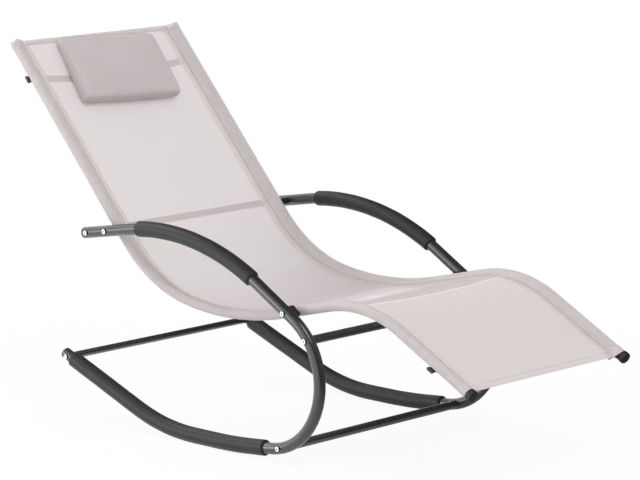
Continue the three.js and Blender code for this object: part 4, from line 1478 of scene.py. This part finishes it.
def pillow_shell(shrink, wide=40, high=26, deep=5):
    """Closed shell: face, gusset rows and rear."""
    shape = bmesh.new()

    def sheet_of(height):
        return [[
            shape.verts.new(pillow_point(u, v, height(u, v), 0, shrink))
            for u in np.linspace(-1, 1, wide + 1)
        ] for v in np.linspace(-1, 1, high + 1)]

    face = sheet_of(lambda u, v: (
        gusset_at(v) - shrink + crown * math.sqrt((1 - u * u) * (1 - v * v))
    ))
    rear = sheet_of(lambda u, v: shrink / 2)
    for grid in (face, rear):
        for j in range(high):
            for i in range(wide):
                shape.faces.new((grid[j][i], grid[j][i + 1], grid[j + 1][i + 1], grid[j + 1][i]))
    rim = [(i, 0) for i in range(wide)] + [(wide, j) for j in range(high)]
    rim += [(i, high) for i in range(wide, 0, -1)] + [(0, j) for j in range(high, 0, -1)]
    rows = [[rear[j][i] for i, j in rim]]
    for share in np.arange(1, deep) / deep:
        bulge = gusset_bulge * math.sin(math.pi * share)
        row = []
        for i, j in rim:
            u, v = 2 * i / wide - 1, 2 * j / high - 1
            height = shrink / 2 + (gusset_at(v) - 1.5 * shrink) * share
            row.append(shape.verts.new(pillow_point(u, v, height, bulge, shrink)))
        rows.append(row)
    rows.append([face[j][i] for i, j in rim])
    for low, high_row in zip(rows, rows[1:]):
        for k in range(len(rim)):
            m = (k + 1) % len(rim)
            shape.faces.new((low[k], low[m], high_row[m], high_row[k]))
    bmesh.ops.recalc_face_normals(shape, faces=shape.faces)
    return mesh_of(shape, "pillow_shell")


# %% Blow up the pillow
voxel = 4 * mm
most_movement = 6 * mm
blow_frames = 20
shell_shrink = 0.6 * mm
held_within = 3 * mm
free_beyond = 16 * mm
filling = {
    "pin_stiffness": 1,
    "use_pressure": True,
    "uniform_pressure_force": 4,
    "tension_stiffness": 25,
    "compression_stiffness": 12,
    "bending_stiffness": 0.6,
}


def apply_all(piece):
    """Turns what the modifiers show into the piece's own mesh."""
    looked_up = bpy.context.evaluated_depsgraph_get()
    mesh = bpy.data.meshes.new_from_object(piece.evaluated_get(looked_up), depsgraph=looked_up)
    piece.modifiers.clear()
    piece.data = mesh


def points_of(piece):
    flat = np.zeros(len(piece.data.vertices) * 3, np.float32)
    piece.data.vertices.foreach_get("co", flat)
    return flat.reshape(-1, 3).astype(float)


def rim_line(off_share, bulge=0.0, count=64):
    """Points round the pillow at a share of the gusset's depth."""
    spots = []
    for side_index in range(4):
        for i in range(count // 4):
            t = 2 * i / (count // 4) - 1
            u, v = ((t, -1), (1, t), (-t, 1), (-1, -t))[side_index]
            spots.append(pillow_point(u, v, gusset_at(v) * off_share, bulge, 0))
    return np.array(spots)


def hold_seams(piece):
    """A vertex group that holds the cloth at its two seams and lets it go away from them."""
    held = piece.vertex_groups.new(name="held_by_seams")
    seams = np.vstack([rim_line(1, count=240), rim_line(0, count=240)])
    for index, spot in enumerate(points_of(piece)):
        away = np.linalg.norm(seams - spot, axis=1).min()
        share = (free_beyond - away) / (free_beyond - held_within)
        held.add([index], min(1, max(0, share)), "REPLACE")
    return held.name


def blow_up(piece):
    """Remeshes the shell, swells it by simulation, and keeps it off what lies behind it."""
    remesh = piece.modifiers.new("even_mesh", "REMESH")
    remesh.mode = "VOXEL"
    remesh.voxel_size = voxel
    apply_all(piece)
    rest = points_of(piece)
    held = hold_seams(piece)
    cloth = piece.modifiers.new("filling", "CLOTH")
    cloth.settings.vertex_group_mass = held
    cloth.settings.effector_weights.gravity = 0
    for name, value in filling.items():
        setattr(cloth.settings, name, value)
    cloth.point_cache.frame_start = 1
    cloth.point_cache.frame_end = blow_frames
    for number in range(1, blow_frames + 1):
        bpy.context.scene.frame_set(number)
    apply_all(piece)
    bpy.context.scene.frame_set(1)
    move = points_of(piece) - rest
    far = np.linalg.norm(move, axis=1)
    move *= np.minimum(1, most_movement / np.maximum(far, 1e-9))[:, None]
    settled = rest + move
    off = (settled - back_origin) @ back_off
    settled += np.outer(np.maximum(pillow_off - off, 0), back_off)
    piece.data.vertices.foreach_set("co", settled.astype(np.float32).ravel())
    finer = piece.modifiers.new("finer", "SUBSURF")
    finer.levels = finer.render_levels = 1
    apply_all(piece)
    print("pillow moved", round(far.max() / mm, 1), "mm at most")


shell_mesh = pillow_shell(shell_shrink)
pillow = keep(shell_mesh, "headrest_cushion", padded_cloth, 60)
blow_up(pillow)

# %% Chart the pillow's weave
# The weave runs down and across the face. On the gusset it turns with the cloth, so each
# face is charted by the side that it looks to.
def chart_cloth(piece):
    mesh = piece.data
    points = points_of(piece)
    local = np.column_stack([
        (points - back_origin) @ back_down,
        points[:, 1],
        (points - back_origin) @ back_off,
    ])
    chart = mesh.uv_layers.get("UVMap") or mesh.uv_layers.new(name="UVMap")
    for face in mesh.polygons:
        normal = np.array(face.normal)
        looks = np.abs([normal @ back_down, normal[1], normal @ back_off])
        first, second = {0: (1, 2), 1: (2, 0), 2: (1, 0)}[int(looks.argmax())]
        for index in face.loop_indices:
            spot = local[mesh.loops[index].vertex_index]
            chart.data[index].uv = (spot[first], spot[second])
    mesh.shade_smooth()
    mesh.materials.clear()
    mesh.materials.append(padded_cloth)


chart_cloth(pillow)
stand_in(pillow, "pillow_cloth", "headrest_pillow", body="headrest")
print("pillow faces", len(pillow.data.polygons))

# %% [markdown]
# A thin welt is sewn into the seam between face and gusset, and another at the rear. Each
# follows the blown-up cloth: its line is laid on the nearest point of the pillow's skin.

# %% Welts and their stitches
welt_radius = 1.1 * mm
welt_shares = (0.97, 0.06)


def laid_on_skin(points, lift):
    """Moves points to the pillow's skin and returns them with the skin's direction."""
    skin = BVHTree.FromObject(pillow, bpy.context.evaluated_depsgraph_get())
    laid_points, looks = [], []
    for p in points:
        spot, normal, _, _ = skin.find_nearest(Vector(p))
        laid_points.append(np.array(spot + normal * lift))
        looks.append(np.array(normal))
    return np.array(laid_points), np.array(looks)


def eased(points, rounds=2):
    for _ in range(rounds):
        points = (np.roll(points, 1, axis=0) + 2 * points + np.roll(points, -1, axis=0)) / 4
    return points


def ring_tube(points, radius, around=8):
    """A closed welt round the pillow."""
    rings = []
    for before, spot, after in zip(np.roll(points, 1, axis=0), points, np.roll(points, -1, axis=0)):
        ahead = Vector(after - before).normalized()
        first = ahead.cross(Vector(back_off)).normalized()
        second = np.array(ahead.cross(first))
        first = np.array(first)
        turns = round_angles(around)
        rings.append([spot + radius * (math.cos(a) * first + math.sin(a) * second) for a in turns])
    return joined_rings(rings, closed=True)


welts = []
pillow_seams = []
for share in welt_shares:
    line, looks = laid_on_skin(rim_line(share, count=160), 0.2 * mm)
    welts.append(ring_tube(eased(line), welt_radius))
    seam = laid_on_skin(rim_line(share * 0.86 + 0.03, 0.5 * mm, 160), 0.1 * mm)
    pillow_seams.append([np.vstack([rows, rows[:1]]) for rows in seam])
welt = keep(join_meshes(welts), "pillow_welts", padded_cloth, 60)
chart_cloth(welt)
seam_mesh = stitches(pillow_seams, 4 * mm, 2.8 * mm, 0.7 * mm, thread)
for piece in (welt, keep(seam_mesh, "pillow_stitches", thread)):
    stand_in(piece, "pillow_cloth", body="headrest")
print("welt faces", len(welt.data.polygons))

# %% [markdown]
# Two strips of hook and loop tape hold the pillow on the sling. Their solids are already
# right, so they only get their finish.

# %% Hook and loop strips
for name in ("headrest_hook_strip", "sling_loop_strip"):
    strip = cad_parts[name]
    for place in strip.material_slots:
        place.link = "OBJECT"
        place.material = tape
